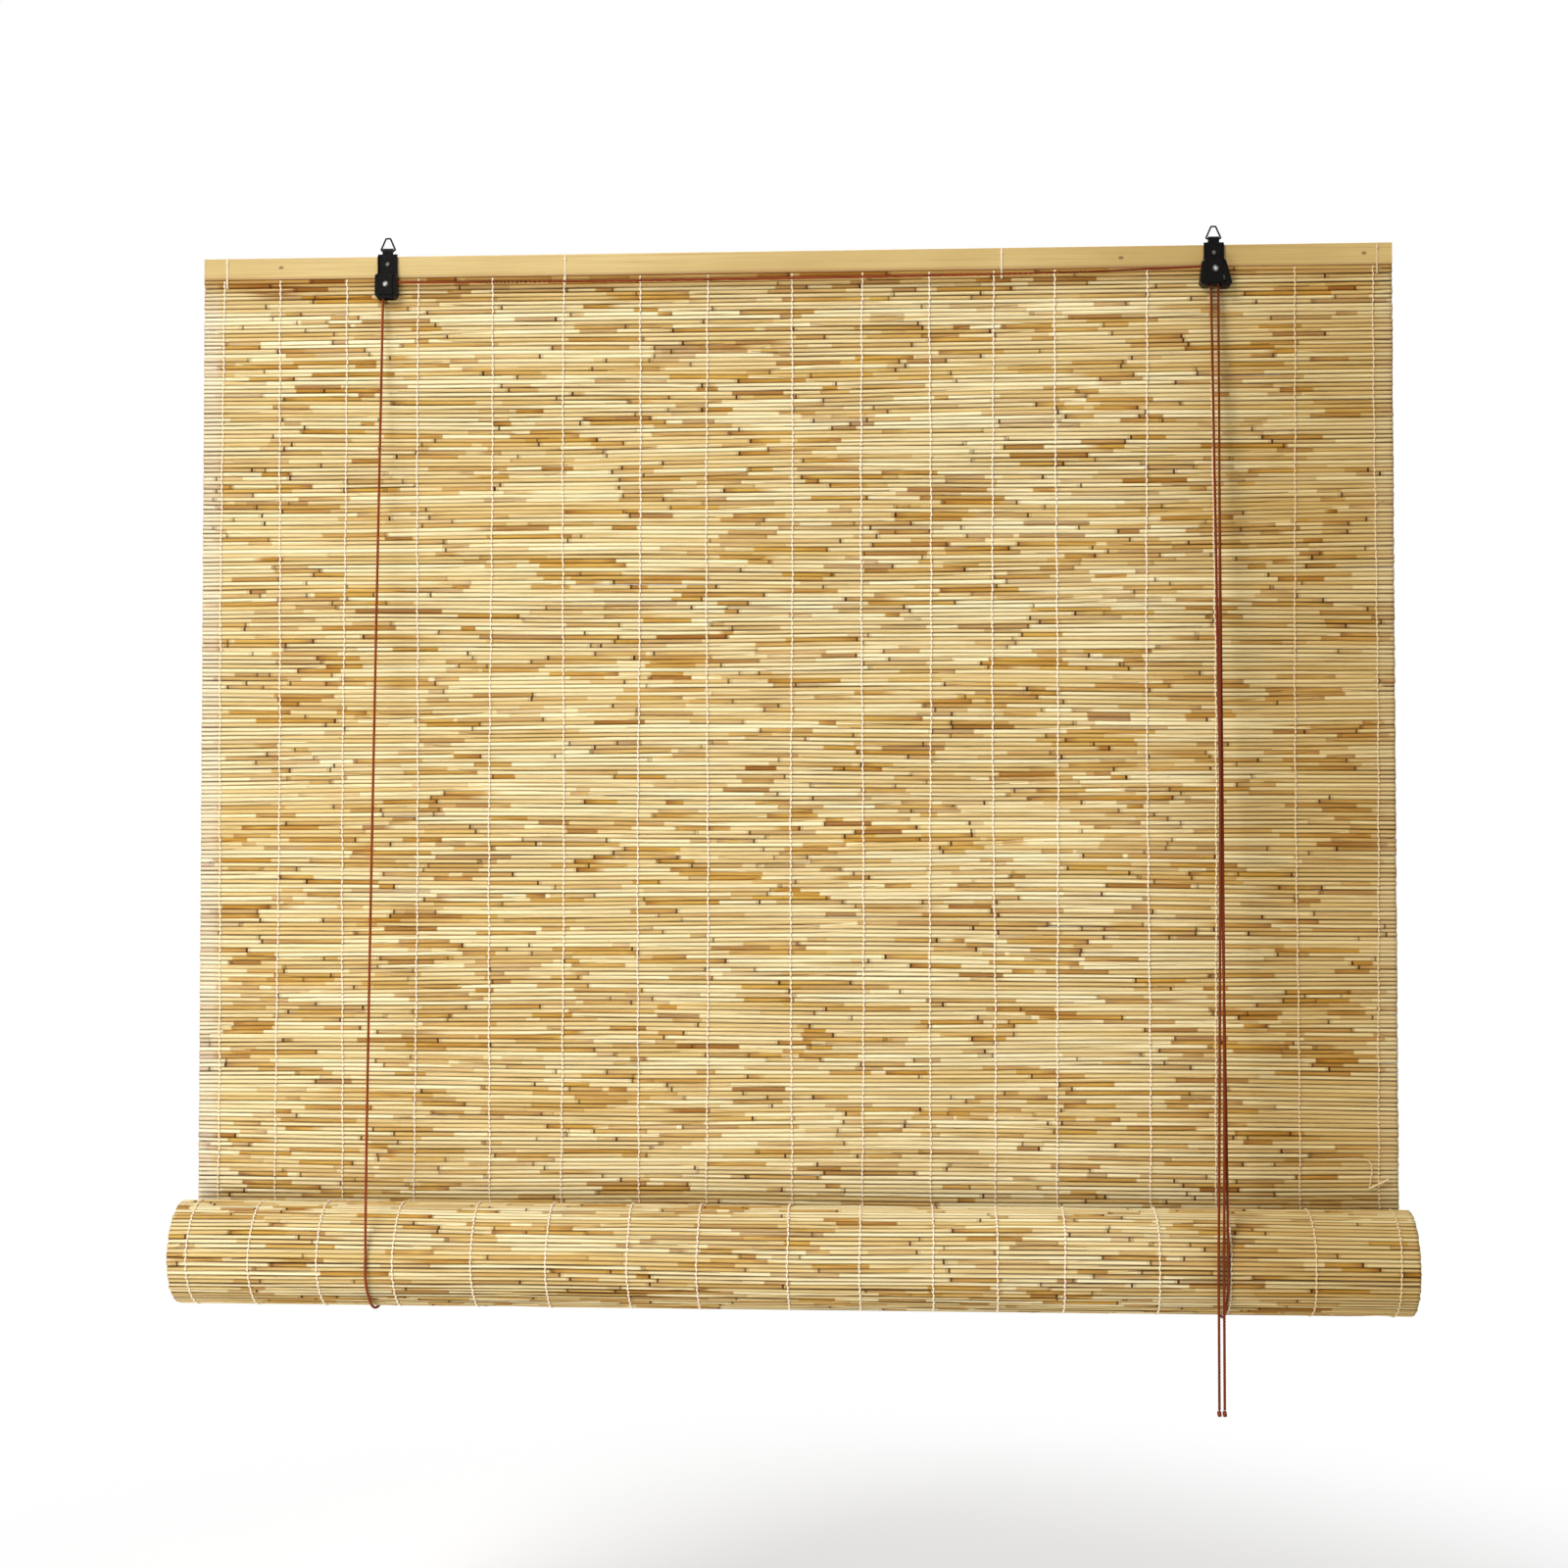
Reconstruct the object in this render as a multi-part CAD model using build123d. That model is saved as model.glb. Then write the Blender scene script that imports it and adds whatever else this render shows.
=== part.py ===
from build123d import *
import os
from math import acos, atan2, cos, degrees, hypot, pi, sin

# A roll-up blind of thin reeds under a flat bamboo headrail, in millimetres.
# The front faces -Y, +X is to the right of someone who looks at it, and +Z is up.
# The origin is the centre of the headrail's back face, which lies against the wall.
# The mat hangs from the headrail and its lower part is rolled up towards the room.
# Two cords run from the headrail down behind the mat, under the roll and up its front
# to a pulley on the left and a cord lock on the right, where both hang down as pull cords.

# Headrail
BLIND_WIDTH = 1200.0
RAIL_HEIGHT = 22.0
RAIL_DEPTH = 10.0
RAIL_EDGE_RADIUS = 1.0

# Mat of reeds
REED_DIAMETER = 4.0
REED_PITCH = 4.2
HANGING_ROWS = 233
MAT_SETBACK = 0.8
VALLEY_DEPTH = 1.2
CREST_HALF = 0.9
GAP_LENGTH = 52.0
GAP_HEIGHT = 0.7
GAP_BANDS = 25
GAPS_PER_BAND = 4

# Roll
ROLL_RADIUS = 52.0
TURN_SPACING = 4.5
BOTTOM_RAIL_HEIGHT = 24.0
BOTTOM_RAIL_DEPTH = 9.0
CORE_CLEARANCE = 0.3

# Thread ties that hold the mat to the headrail
LEFT_TIE_FROM_END = 24.0
MIDDLE_TIE_PLACES = (-228.0, 213.0)
RIGHT_TIE_FROM_END = 15.0
TIE_WIDTH = 1.6
TIE_THICKNESS = 0.8
TIE_ROWS = 2
TIE_CLEARANCE = 0.3

# Cords
CORD_DIAMETER = 2.5
CORD_CLEARANCE = 0.3
CORD_BREAK = 0.5
CORD_HOLE_CLEARANCE = 0.35
CORD_HOLE_OFFSET = -3.6
ANCHOR_KNOT_DIAMETER = 5.0
ANCHOR_KNOT_HEIGHT = 5.0
LEFT_SLING_OFFSET = 6.0
RIGHT_SLING_OFFSET = -4.5
PULL_CORD_A_OFFSET = -8.5
PULL_CORD_B_OFFSET = -13.5
PULL_CORD_A_BOW = 3.8
PULL_CORD_B_BOW = 6.2
PULL_CORD_END_Z = -1121.0
END_KNOT_DIAMETER = 4.6
END_KNOT_HEIGHT = 6.0

# Hangers: a bent steel bracket, a wire ring, a screw, a housing, a wheel and its axle
LEFT_HANGER_FROM_END = 190.0
RIGHT_HANGER_FROM_END = 176.0
SHEET = 1.2
PLATE_WIDTH = 20.0
PLATE_RISE = 2.0
LIP_HEIGHT = 2.0
TAB_WIDTH = 11.0
TAB_HEIGHT = 4.2
CHEEK_WIDTH = 14.0
CHEEK_END_Z = -30.0
RING_WIRE = 1.8
RING_CLEARANCE = 0.2
RING_WIDTH = 15.4
RING_TOP_WIDTH = 4.5
RING_HEIGHT = 12.4
RING_BEND = 1.2
CURL_ANGLE = 275.0
SCREW_Z = 2.5
SCREW_DIAMETER = 3.0
SCREW_LENGTH = 7.0
SCREW_HEAD_DIAMETER = 5.6
SCREW_HEAD_HEIGHT = 1.5
SCREW_SLOT = 0.9
FIT = 0.05

# Wheels and axles
WHEEL_PITCH_RADIUS = 3.5
WHEEL_FLANGE_RADIUS = 5.3
WHEEL_FLANGE = 0.6
GROOVE_SPACING = 4.6
GROOVE_CLEARANCE = 0.1
GROOVE_FLAT = 1.0
AXLE_DIAMETER = 3.0
AXLE_HEAD_DIAMETER = 6.4
AXLE_HEAD_HEIGHT = 1.2
AXLE_BORE_CLEARANCE = 0.15
HOUSING_WALL = 1.2

# Left pulley housing
PULLEY_SHELF_Z = -10.5
PULLEY_AXLE_Z = -20.0
PULLEY_HALF_WIDTH = 11.2
PULLEY_BOTTOM_Z = -34.0
PULLEY_CHAMFER = 3.0
PULLEY_DEPTH = 10.0

# Right cord lock
LOCK_SHELF_Z = -8.5
LOCK_AXLE_Z = -16.3
LOCK_TOP_LEFT = -13.0
LOCK_TOP_RIGHT = 11.0
LOCK_FLARE_LEFT = -15.0
LOCK_FLARE_RIGHT = 16.6
LOCK_BOTTOM_LEFT_Z = -32.6
LOCK_BOTTOM_RIGHT_Z = -34.0
LOCK_CHAMFER = 3.4
LOCK_MOUTH_HALF = 5.6
LOCK_MOUTH_Z = -31.2
LOCK_DEPTH = 13.0
LOCK_EXIT_Z = -33.0
POST_TOP_Z = -22.6
ROLLER_RADIUS = 3.2
ROLLER_Z = -24.0
ROLLER_TRAVEL = 4.5
ROLLER_SIDES = 16
TRUNNION_RADIUS = 1.0
TRUNNION_CLEARANCE = 0.15

# Places that follow from the sizes above
RAIL_TOP = RAIL_HEIGHT / 2
RAIL_BOTTOM = -RAIL_HEIGHT / 2
RAIL_FRONT = -RAIL_DEPTH
TIE_PLACES = (
    LEFT_TIE_FROM_END - BLIND_WIDTH / 2,
    *MIDDLE_TIE_PLACES,
    BLIND_WIDTH / 2 - RIGHT_TIE_FROM_END,
)
LEFT_HANGER_X = LEFT_HANGER_FROM_END - BLIND_WIDTH / 2
RIGHT_HANGER_X = BLIND_WIDTH / 2 - RIGHT_HANGER_FROM_END
LEFT_SLING_X = LEFT_HANGER_X + LEFT_SLING_OFFSET
RIGHT_SLING_X = RIGHT_HANGER_X + RIGHT_SLING_OFFSET
PULL_CORD_A_X = RIGHT_HANGER_X + PULL_CORD_A_OFFSET
PULL_CORD_B_X = RIGHT_HANGER_X + PULL_CORD_B_OFFSET
MAT_FRONT = RAIL_FRONT + MAT_SETBACK
MAT_BACK = MAT_FRONT + REED_DIAMETER
ROLL_Y = MAT_BACK - ROLL_RADIUS
ROLL_Z = RAIL_BOTTOM - HANGING_ROWS * REED_PITCH
CORD_RADIUS = CORD_DIAMETER / 2
SLING_RADIUS = ROLL_RADIUS + CORD_CLEARANCE + CORD_RADIUS
BACK_CORD_Y = ROLL_Y + SLING_RADIUS
PULLEY_WHEEL_Y = RAIL_FRONT - PULLEY_DEPTH / 2
LOCK_WHEEL_Y = RAIL_FRONT - LOCK_DEPTH / 2
LIFT_GROOVE_Y = LOCK_WHEEL_Y + GROOVE_SPACING / 2
TRANSFER_GROOVE_Y = LOCK_WHEEL_Y - GROOVE_SPACING / 2
CURL_OUTER = RING_WIRE / 2 + RING_CLEARANCE + SHEET
CURL_Y = RAIL_FRONT - SHEET + CURL_OUTER
CURL_Z = RAIL_TOP + PLATE_RISE + TAB_HEIGHT


def prism_x(points, x0, x1):
    """A solid from an outline of (y, z) points, between two places along X."""
    face = make_face(Polyline(*[(x0, y, z) for y, z in points], close=True))
    return extrude(face, amount=x1 - x0, dir=(1, 0, 0))


def prism_y(points, y0, y1):
    """A solid from an outline of (x, z) points, between two places along Y."""
    face = make_face(Polyline(*[(x, y0, z) for x, z in points], close=True))
    return extrude(face, amount=y1 - y0, dir=(0, 1, 0))


def turned(points, x, z):
    """A turned piece about an axle along Y at (x, z), from (radius, y) points."""
    outline = [(x + radius, y, z) for radius, y in points]
    face = make_face(Polyline(*outline, close=True))
    return revolve(face, axis=Axis((x, 0, z), (0, 1, 0)), revolution_arc=360)


def bore_y(x, z, radius, y0, y1):
    """A round cutter along Y."""
    length = abs(y1 - y0)
    return Pos(x, (y0 + y1) / 2, z) * Rot(90, 0, 0) * Cylinder(radius, length)


def cord_run(start, end):
    """A straight run of cord whose two end faces lie level."""
    run = Vector(*end) - Vector(*start)
    face = Plane(origin=start, z_dir=(0, 0, 1)) * Circle(CORD_RADIUS)
    return extrude(face, amount=run.length, dir=run.normalized())


def cord_along(path):
    """A round cord swept along a path whose runs and arcs are tangent."""
    return sweep(Plane(path ^ 0) * Circle(CORD_RADIUS), path=path)


# Headrail


def headrail():
    """The flat bamboo slat, with cord holes, screw holes and notches for the ties."""
    rail = Pos(0, -RAIL_DEPTH / 2, 0) * Box(BLIND_WIDTH, RAIL_DEPTH, RAIL_HEIGHT)
    rail = fillet(rail.edges().filter_by(Axis.X), RAIL_EDGE_RADIUS)
    for hanger_x in (LEFT_HANGER_X, RIGHT_HANGER_X):
        hole_x = hanger_x + CORD_HOLE_OFFSET
        hole = Cylinder(CORD_RADIUS + CORD_HOLE_CLEARANCE, RAIL_HEIGHT + 2)
        rail -= Pos(hole_x, BACK_CORD_Y, 0) * hole
        depth = RAIL_FRONT - SHEET + SCREW_LENGTH + FIT
        rail -= bore_y(hanger_x, SCREW_Z, SCREW_DIAMETER / 2 + FIT, RAIL_FRONT - 1, depth)
    notch_depth = TIE_THICKNESS + TIE_CLEARANCE
    for tie_x in TIE_PLACES:
        notch = Box(TIE_WIDTH + 2 * TIE_CLEARANCE, 2 * notch_depth, RAIL_HEIGHT + 2)
        rail -= Pos(tie_x, 0, 0) * notch
    return rail


def tie_gap_z():
    """The height of the valley between reeds that the ties pass through."""
    return RAIL_BOTTOM - TIE_ROWS * REED_PITCH


def headrail_tie(x):
    """A flat lashing of thread round the headrail and the first reeds."""
    inner_front, inner_back = RAIL_FRONT, -TIE_THICKNESS - TIE_CLEARANCE
    inner_top, inner_bottom = RAIL_TOP, tie_gap_z() + TIE_THICKNESS / 2
    inner = [
        (inner_front, inner_bottom),
        (inner_back, inner_bottom),
        (inner_back, inner_top),
        (inner_front, inner_top),
    ]
    t = TIE_THICKNESS
    outer = [
        (inner_front - t, inner_bottom - t),
        (inner_back + t, inner_bottom - t),
        (inner_back + t, inner_top + t),
        (inner_front - t, inner_top + t),
    ]
    x0, x1 = x - TIE_WIDTH / 2, x + TIE_WIDTH / 2
    return prism_x(outer, x0, x1) - prism_x(inner, x0, x1)


# Mat


def mat_outline():
    """The section of the hanging mat: one flat-topped ridge a reed, front and back."""
    side = [(VALLEY_DEPTH, RAIL_BOTTOM)]
    for row in range(HANGING_ROWS):
        middle = RAIL_BOTTOM - (row + 0.5) * REED_PITCH
        side.append((0.0, middle + CREST_HALF))
        side.append((0.0, middle - CREST_HALF))
        side.append((VALLEY_DEPTH, middle - REED_PITCH / 2))
    front = [(MAT_FRONT + inset, z) for inset, z in side]
    back = [(MAT_BACK - inset, z) for inset, z in side]
    return front + back[::-1]


def gap_cutter(x, z, length, height):
    """A slot right through the mat in the valley between two reeds."""
    middle_y = (MAT_FRONT + MAT_BACK) / 2
    return Pos(x, middle_y, z) * Box(length, 2 * REED_DIAMETER, height)


def mat_gaps():
    """The light slits between reeds, spread in staggered bands, and the ties' slits."""
    cutters = [
        gap_cutter(x, tie_gap_z(), TIE_WIDTH + 2 * TIE_CLEARANCE, TIE_THICKNESS + TIE_CLEARANCE)
        for x in TIE_PLACES
    ]
    rows_apart = HANGING_ROWS / (GAP_BANDS + 1)
    column = BLIND_WIDTH / GAPS_PER_BAND
    for band in range(GAP_BANDS):
        for place in range(GAPS_PER_BAND):
            row = round((band + 0.6) * rows_apart) + (place * 3 + band) % 5
            shift = ((band * 2 + place) % 5 - 2) * column / 6
            x = (place + 0.5) * column - BLIND_WIDTH / 2 + shift
            z = RAIL_BOTTOM - row * REED_PITCH
            cutters.append(gap_cutter(x, z, GAP_LENGTH, GAP_HEIGHT))
    return cutters


def mat_panel():
    """The part of the mat that hangs between the headrail and the roll."""
    half = BLIND_WIDTH / 2
    return prism_x(mat_outline(), -half, half) - mat_gaps()


def spiral_point(radius, angle):
    """A point on the roll's section. Angle 0 is at the back, and it grows downwards."""
    return (ROLL_Y + radius * cos(angle), ROLL_Z - radius * sin(angle))


def spiral_edges(start_radius, angles, x):
    """Arcs of up to a quarter turn along a spiral that closes in by one spacing a turn."""
    def at(angle):
        radius = start_radius - TURN_SPACING * angle / (2 * pi)
        return (x, *spiral_point(radius, angle))
    return [
        ThreePointArc(at(a), at((a + b) / 2), at(b))
        for a, b in zip(angles, angles[1:])
    ]


def core_radius():
    """The space that the bottom rail needs inside the roll."""
    return hypot(BOTTOM_RAIL_HEIGHT, BOTTOM_RAIL_DEPTH) / 2 + CORE_CLEARANCE


def roll_turns():
    """How many turns the mat makes from the roll's outside to its core."""
    return (ROLL_RADIUS - REED_DIAMETER - core_radius()) / TURN_SPACING


def ridged_turn(x):
    """The roll's outermost turn, one flat-topped ridge a reed."""
    mean_radius = ROLL_RADIUS - REED_DIAMETER / 2 - TURN_SPACING / 2
    reeds = round(2 * pi * mean_radius / REED_PITCH)
    step = 2 * pi / reeds
    crest = CREST_HALF / mean_radius
    points = [(x, *spiral_point(ROLL_RADIUS - VALLEY_DEPTH, 0.0))]
    for reed in range(reeds):
        middle = (reed + 0.5) * step
        radius = ROLL_RADIUS - TURN_SPACING * middle / (2 * pi)
        points.append((x, *spiral_point(radius, middle - crest)))
        points.append((x, *spiral_point(radius, middle + crest)))
        points.append((x, *spiral_point(radius - VALLEY_DEPTH, middle + step / 2)))
    return points


def quarter_angles(start, end):
    """Angles from start to end, at most a quarter turn apart."""
    angles = [start]
    while end - angles[-1] > pi / 2 + 1e-6:
        angles.append(angles[-1] + pi / 2)
    return angles + [end]


def mat_roll():
    """The rolled part of the mat: every turn of the spiral, as one sheet."""
    x = -BLIND_WIDTH / 2
    end = 2 * pi * roll_turns()
    outside = ridged_turn(x)
    outer = spiral_edges(ROLL_RADIUS, quarter_angles(2 * pi, end), x)
    inner = spiral_edges(ROLL_RADIUS - REED_DIAMETER, quarter_angles(0.0, end), x)
    edges = [Polyline(*outside), Line(outside[-1], outer[0] @ 0), *outer]
    edges += [Line(outer[-1] @ 1, inner[-1] @ 1), *inner, Line(inner[0] @ 0, outside[0])]
    face = make_face(Curve() + edges)
    return extrude(face, amount=BLIND_WIDTH, dir=(1, 0, 0))


def bottom_rail():
    """The slat at the mat's lower end, inside the roll."""
    rail = Box(BLIND_WIDTH, BOTTOM_RAIL_DEPTH, BOTTOM_RAIL_HEIGHT)
    rail = fillet(rail.edges().filter_by(Axis.X), RAIL_EDGE_RADIUS)
    return Pos(0, ROLL_Y, ROLL_Z) * rail


# Hangers


def bracket_section(shelf_z, depth):
    """The side outline of the bent sheet below the tab: plate, shelf and front cheek."""
    cheek_back = RAIL_FRONT - depth
    cheek_front = cheek_back - SHEET
    plate_front = RAIL_FRONT - SHEET
    shelf_top = shelf_z + SHEET
    return [
        (RAIL_FRONT, RAIL_TOP + PLATE_RISE),
        (RAIL_FRONT, shelf_z),
        (cheek_back, shelf_z),
        (cheek_back, CHEEK_END_Z),
        (cheek_front, CHEEK_END_Z),
        (cheek_front, shelf_top),
        (plate_front, shelf_top),
        (plate_front, RAIL_TOP + PLATE_RISE),
    ]


def tab_curl(x):
    """The narrow tab above the plate, curled back round the ring's lower bar."""
    face_front = RAIL_FRONT - SHEET
    base = RAIL_TOP + PLATE_RISE
    tab = prism_x(
        [(RAIL_FRONT, base), (RAIL_FRONT, CURL_Z), (face_front, CURL_Z), (face_front, base)],
        x - TAB_WIDTH / 2,
        x + TAB_WIDTH / 2,
    )
    strip = [
        (x - TAB_WIDTH / 2, face_front, CURL_Z),
        (x + TAB_WIDTH / 2, face_front, CURL_Z),
        (x + TAB_WIDTH / 2, RAIL_FRONT, CURL_Z),
        (x - TAB_WIDTH / 2, RAIL_FRONT, CURL_Z),
    ]
    strip = make_face(Polyline(*strip, close=True))
    curl = revolve(strip, axis=Axis((x, CURL_Y, CURL_Z), (-1, 0, 0)), revolution_arc=CURL_ANGLE)
    return tab + curl


def bracket(x, shelf_z, depth, axle_z):
    """One bent sheet: tab, screwed plate with side lips, shelf and front cheek."""
    sheet = prism_x(bracket_section(shelf_z, depth), x - PLATE_WIDTH / 2, x + PLATE_WIDTH / 2)
    for side in (-1, 1):
        waste = (PLATE_WIDTH - CHEEK_WIDTH) / 2
        waste_x = x + side * (CHEEK_WIDTH + waste) / 2
        middle_z = (shelf_z + CHEEK_END_Z) / 2
        drop = shelf_z - CHEEK_END_Z
        sheet -= Pos(waste_x, RAIL_FRONT - depth, middle_z) * Box(waste, 4 * SHEET, drop)
        lip_top, lip_bottom = RAIL_TOP, shelf_z + SHEET
        lip = Box(SHEET, LIP_HEIGHT, lip_top - lip_bottom)
        lip_x = x + side * (PLATE_WIDTH - SHEET) / 2
        lip_y = RAIL_FRONT - SHEET - LIP_HEIGHT / 2
        sheet += Pos(lip_x, lip_y, (lip_top + lip_bottom) / 2) * lip
    sheet += tab_curl(x)
    front = RAIL_FRONT - depth - 2 * SHEET
    sheet -= bore_y(x, SCREW_Z, SCREW_DIAMETER / 2 + FIT, RAIL_FRONT - 2 * SHEET, RAIL_FRONT + 1)
    return sheet - bore_y(x, axle_z, AXLE_DIAMETER / 2 + FIT, front, RAIL_FRONT - depth + 1)


def hanging_ring(x):
    """The wire ring: a lower bar in the tab's curl, two legs and a short flat top."""
    half, top = RING_WIDTH / 2, RING_TOP_WIDTH / 2
    corners = [
        (x - half, CURL_Y, CURL_Z),
        (x + half, CURL_Y, CURL_Z),
        (x + top, CURL_Y, CURL_Z + RING_HEIGHT),
        (x - top, CURL_Y, CURL_Z + RING_HEIGHT),
    ]
    path = FilletPolyline(*corners, radius=RING_BEND, close=True)
    start = Plane(path ^ 0)
    return sweep(start * RegularPolygon(RING_WIRE / 2, 8), path=path)


def mounting_screw(x):
    """A slotted screw through the plate into the headrail."""
    seat = RAIL_FRONT - SHEET
    face = seat - SCREW_HEAD_HEIGHT
    head, shank = SCREW_HEAD_DIAMETER / 2, SCREW_DIAMETER / 2
    profile = [
        (0, face),
        (head * 0.75, face),
        (head, seat - SCREW_HEAD_HEIGHT * 0.4),
        (head, seat),
        (shank, seat),
        (shank, seat + SCREW_LENGTH - shank),
        (0, seat + SCREW_LENGTH),
    ]
    slot = Box(SCREW_SLOT, SCREW_HEAD_HEIGHT, SCREW_HEAD_DIAMETER + 1)
    return turned(profile, x, SCREW_Z) - Pos(x, face, SCREW_Z) * slot


def axle(x, z, depth):
    """The rivet that the wheel turns on, from the cheek to the housing's back wall."""
    seat = RAIL_FRONT - depth - SHEET
    face = seat - AXLE_HEAD_HEIGHT
    head, shank = AXLE_HEAD_DIAMETER / 2, AXLE_DIAMETER / 2
    profile = [
        (0, face),
        (head * 0.7, face),
        (head, seat - AXLE_HEAD_HEIGHT * 0.35),
        (head, seat),
        (shank, seat),
        (shank, RAIL_FRONT),
        (0, RAIL_FRONT),
    ]
    return turned(profile, x, z)


def grooved_wheel(x, z, grooves):
    """A cord wheel with a round-bottomed groove at each place along Y."""
    bottom = WHEEL_PITCH_RADIUS - CORD_RADIUS - GROOVE_CLEARANCE
    rim = WHEEL_FLANGE_RADIUS
    half = GROOVE_SPACING / 2
    bore = AXLE_DIAMETER / 2 + AXLE_BORE_CLEARANCE
    first, last = min(grooves) - half, max(grooves) + half
    profile = [(bore, first), (rim, first)]
    for y in sorted(grooves):
        profile.append((rim, y - half + WHEEL_FLANGE / 2))
        profile.append((bottom, y - GROOVE_FLAT))
        profile.append((bottom, y + GROOVE_FLAT))
        profile.append((rim, y + half - WHEEL_FLANGE / 2))
    profile += [(rim, last), (bore, last)]
    return turned(profile, x, z)


def pulley_housing():
    """The left housing: a box round the wheel, open below, with a slot to the right."""
    x, top = LEFT_HANGER_X, PULLEY_SHELF_Z
    half, bottom, cut = PULLEY_HALF_WIDTH, PULLEY_BOTTOM_Z, PULLEY_CHAMFER
    outline = [
        (x - half, top),
        (x + half, top),
        (x + half, bottom + cut),
        (x + half - cut, bottom),
        (x - half + cut, bottom),
        (x - half, bottom + cut),
    ]
    back, front = RAIL_FRONT, RAIL_FRONT - PULLEY_DEPTH
    body = prism_y(outline, front, back)
    inner_half = half - HOUSING_WALL
    inside = [
        (x - inner_half, top - HOUSING_WALL),
        (x + inner_half, top - HOUSING_WALL),
        (x + inner_half, bottom + cut),
        (x + inner_half - cut, bottom - 1),
        (x - inner_half + cut, bottom - 1),
        (x - inner_half, bottom + cut),
    ]
    body -= prism_y(inside, front + HOUSING_WALL, back - HOUSING_WALL)
    body -= bore_y(x, PULLEY_AXLE_Z, AXLE_DIAMETER / 2 + FIT, front - 1, back + 1)
    cord_z = PULLEY_AXLE_Z + WHEEL_PITCH_RADIUS
    window = CORD_DIAMETER + 2 * CORD_CLEARANCE
    slot = Box(4 * HOUSING_WALL, window, window)
    return body - Pos(x + half, PULLEY_WHEEL_Y, cord_z) * slot


def flare_x(z):
    """The lock's right side, outside, at a height: it leans outwards going down."""
    low = LOCK_BOTTOM_RIGHT_Z + LOCK_CHAMFER
    share = (LOCK_SHELF_Z - z) / (LOCK_SHELF_Z - low)
    return LOCK_TOP_RIGHT + share * (LOCK_FLARE_RIGHT - LOCK_TOP_RIGHT)


def roller_rest():
    """The roller's place beside the pull cords, from the hanger's middle."""
    return WHEEL_PITCH_RADIUS + CORD_RADIUS + CORD_CLEARANCE + ROLLER_RADIUS


def roller_direction():
    """The way the roller runs as the lock is let go: down along the leaning side."""
    lean = flare_x(-1.0) - flare_x(0.0)
    length = hypot(lean, 1.0)
    return lean / length, -1.0 / length


def lock_outline(wall):
    """The lock's outline, drawn in by a wall's thickness, and its mouth for the cords."""
    x = RIGHT_HANGER_X
    top, cut = LOCK_SHELF_Z - wall, LOCK_CHAMFER
    left, right = LOCK_BOTTOM_LEFT_Z + wall, LOCK_BOTTOM_RIGHT_Z + wall
    mouth = LOCK_MOUTH_Z if wall == 0 else LOCK_BOTTOM_RIGHT_Z - 1
    return [
        (x + LOCK_TOP_LEFT + wall, top),
        (x + LOCK_TOP_RIGHT - wall, top),
        (x + LOCK_FLARE_RIGHT - wall, right + cut),
        (x + LOCK_FLARE_RIGHT - wall - cut, right),
        (x + LOCK_MOUTH_HALF, right),
        (x + LOCK_MOUTH_HALF, mouth),
        (x - LOCK_MOUTH_HALF, mouth),
        (x - LOCK_MOUTH_HALF, left),
        (x + LOCK_FLARE_LEFT + wall + cut, left),
        (x + LOCK_FLARE_LEFT + wall, left + cut),
    ]


def lock_housing():
    """The right housing: flared, with a post between the cords and slots for the roller."""
    x = RIGHT_HANGER_X
    back, front = RAIL_FRONT, RAIL_FRONT - LOCK_DEPTH
    body = prism_y(lock_outline(0.0), front, back)
    body -= prism_y(lock_outline(HOUSING_WALL), front + HOUSING_WALL, back - HOUSING_WALL)
    post_half = WHEEL_PITCH_RADIUS - CORD_RADIUS - CORD_HOLE_CLEARANCE
    post = [
        (x - post_half, POST_TOP_Z),
        (x + post_half, POST_TOP_Z),
        (x + post_half, LOCK_MOUTH_Z),
        (x - post_half, LOCK_MOUTH_Z),
    ]
    body += prism_y(post, front, back)
    body -= bore_y(x, LOCK_AXLE_Z, AXLE_DIAMETER / 2 + FIT, front - 1, back + 1)
    dx, dz = roller_direction()
    start = (x + roller_rest(), ROLLER_Z)
    middle_x = start[0] + dx * ROLLER_TRAVEL / 2
    middle_z = start[1] + dz * ROLLER_TRAVEL / 2
    slot = SlotCenterToCenter(ROLLER_TRAVEL, 2 * (TRUNNION_RADIUS + TRUNNION_CLEARANCE))
    lean = degrees(atan2(dz, dx))
    plane = Plane((middle_x, back + 1, middle_z), x_dir=(1, 0, 0), z_dir=(0, -1, 0))
    body -= extrude(plane * Rot(0, 0, lean) * slot, amount=LOCK_DEPTH + 2)
    cord_z = LOCK_AXLE_Z + WHEEL_PITCH_RADIUS
    window = CORD_DIAMETER + 2 * CORD_CLEARANCE
    entry = Box(6 * HOUSING_WALL, window, window)
    return body - Pos(x + LOCK_TOP_LEFT, TRANSFER_GROOVE_Y, cord_z) * entry


def lock_roller():
    """The ribbed roller that jams the pull cords, with a trunnion at each end."""
    x = RIGHT_HANGER_X + roller_rest()
    clear = HOUSING_WALL + CORD_CLEARANCE
    front, back = RAIL_FRONT - LOCK_DEPTH + clear, RAIL_FRONT - clear
    plane = Plane((x, back, ROLLER_Z), x_dir=(1, 0, 0), z_dir=(0, -1, 0))
    roller = extrude(plane * RegularPolygon(ROLLER_RADIUS, ROLLER_SIDES), amount=back - front)
    ends = (RAIL_FRONT - LOCK_DEPTH + CORD_CLEARANCE, RAIL_FRONT - CORD_CLEARANCE)
    return roller + bore_y(x, ROLLER_Z, TRUNNION_RADIUS, *ends)


# Cords


def front_tangent(y, z):
    """Where a straight cord from (y, z) meets the sling circle: its angle on the roll."""
    dy, dz = y - ROLL_Y, z - ROLL_Z
    to_start = atan2(-dz, dy)
    spread = acos(SLING_RADIUS / hypot(dy, dz))
    return to_start - spread + 2 * pi


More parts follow.
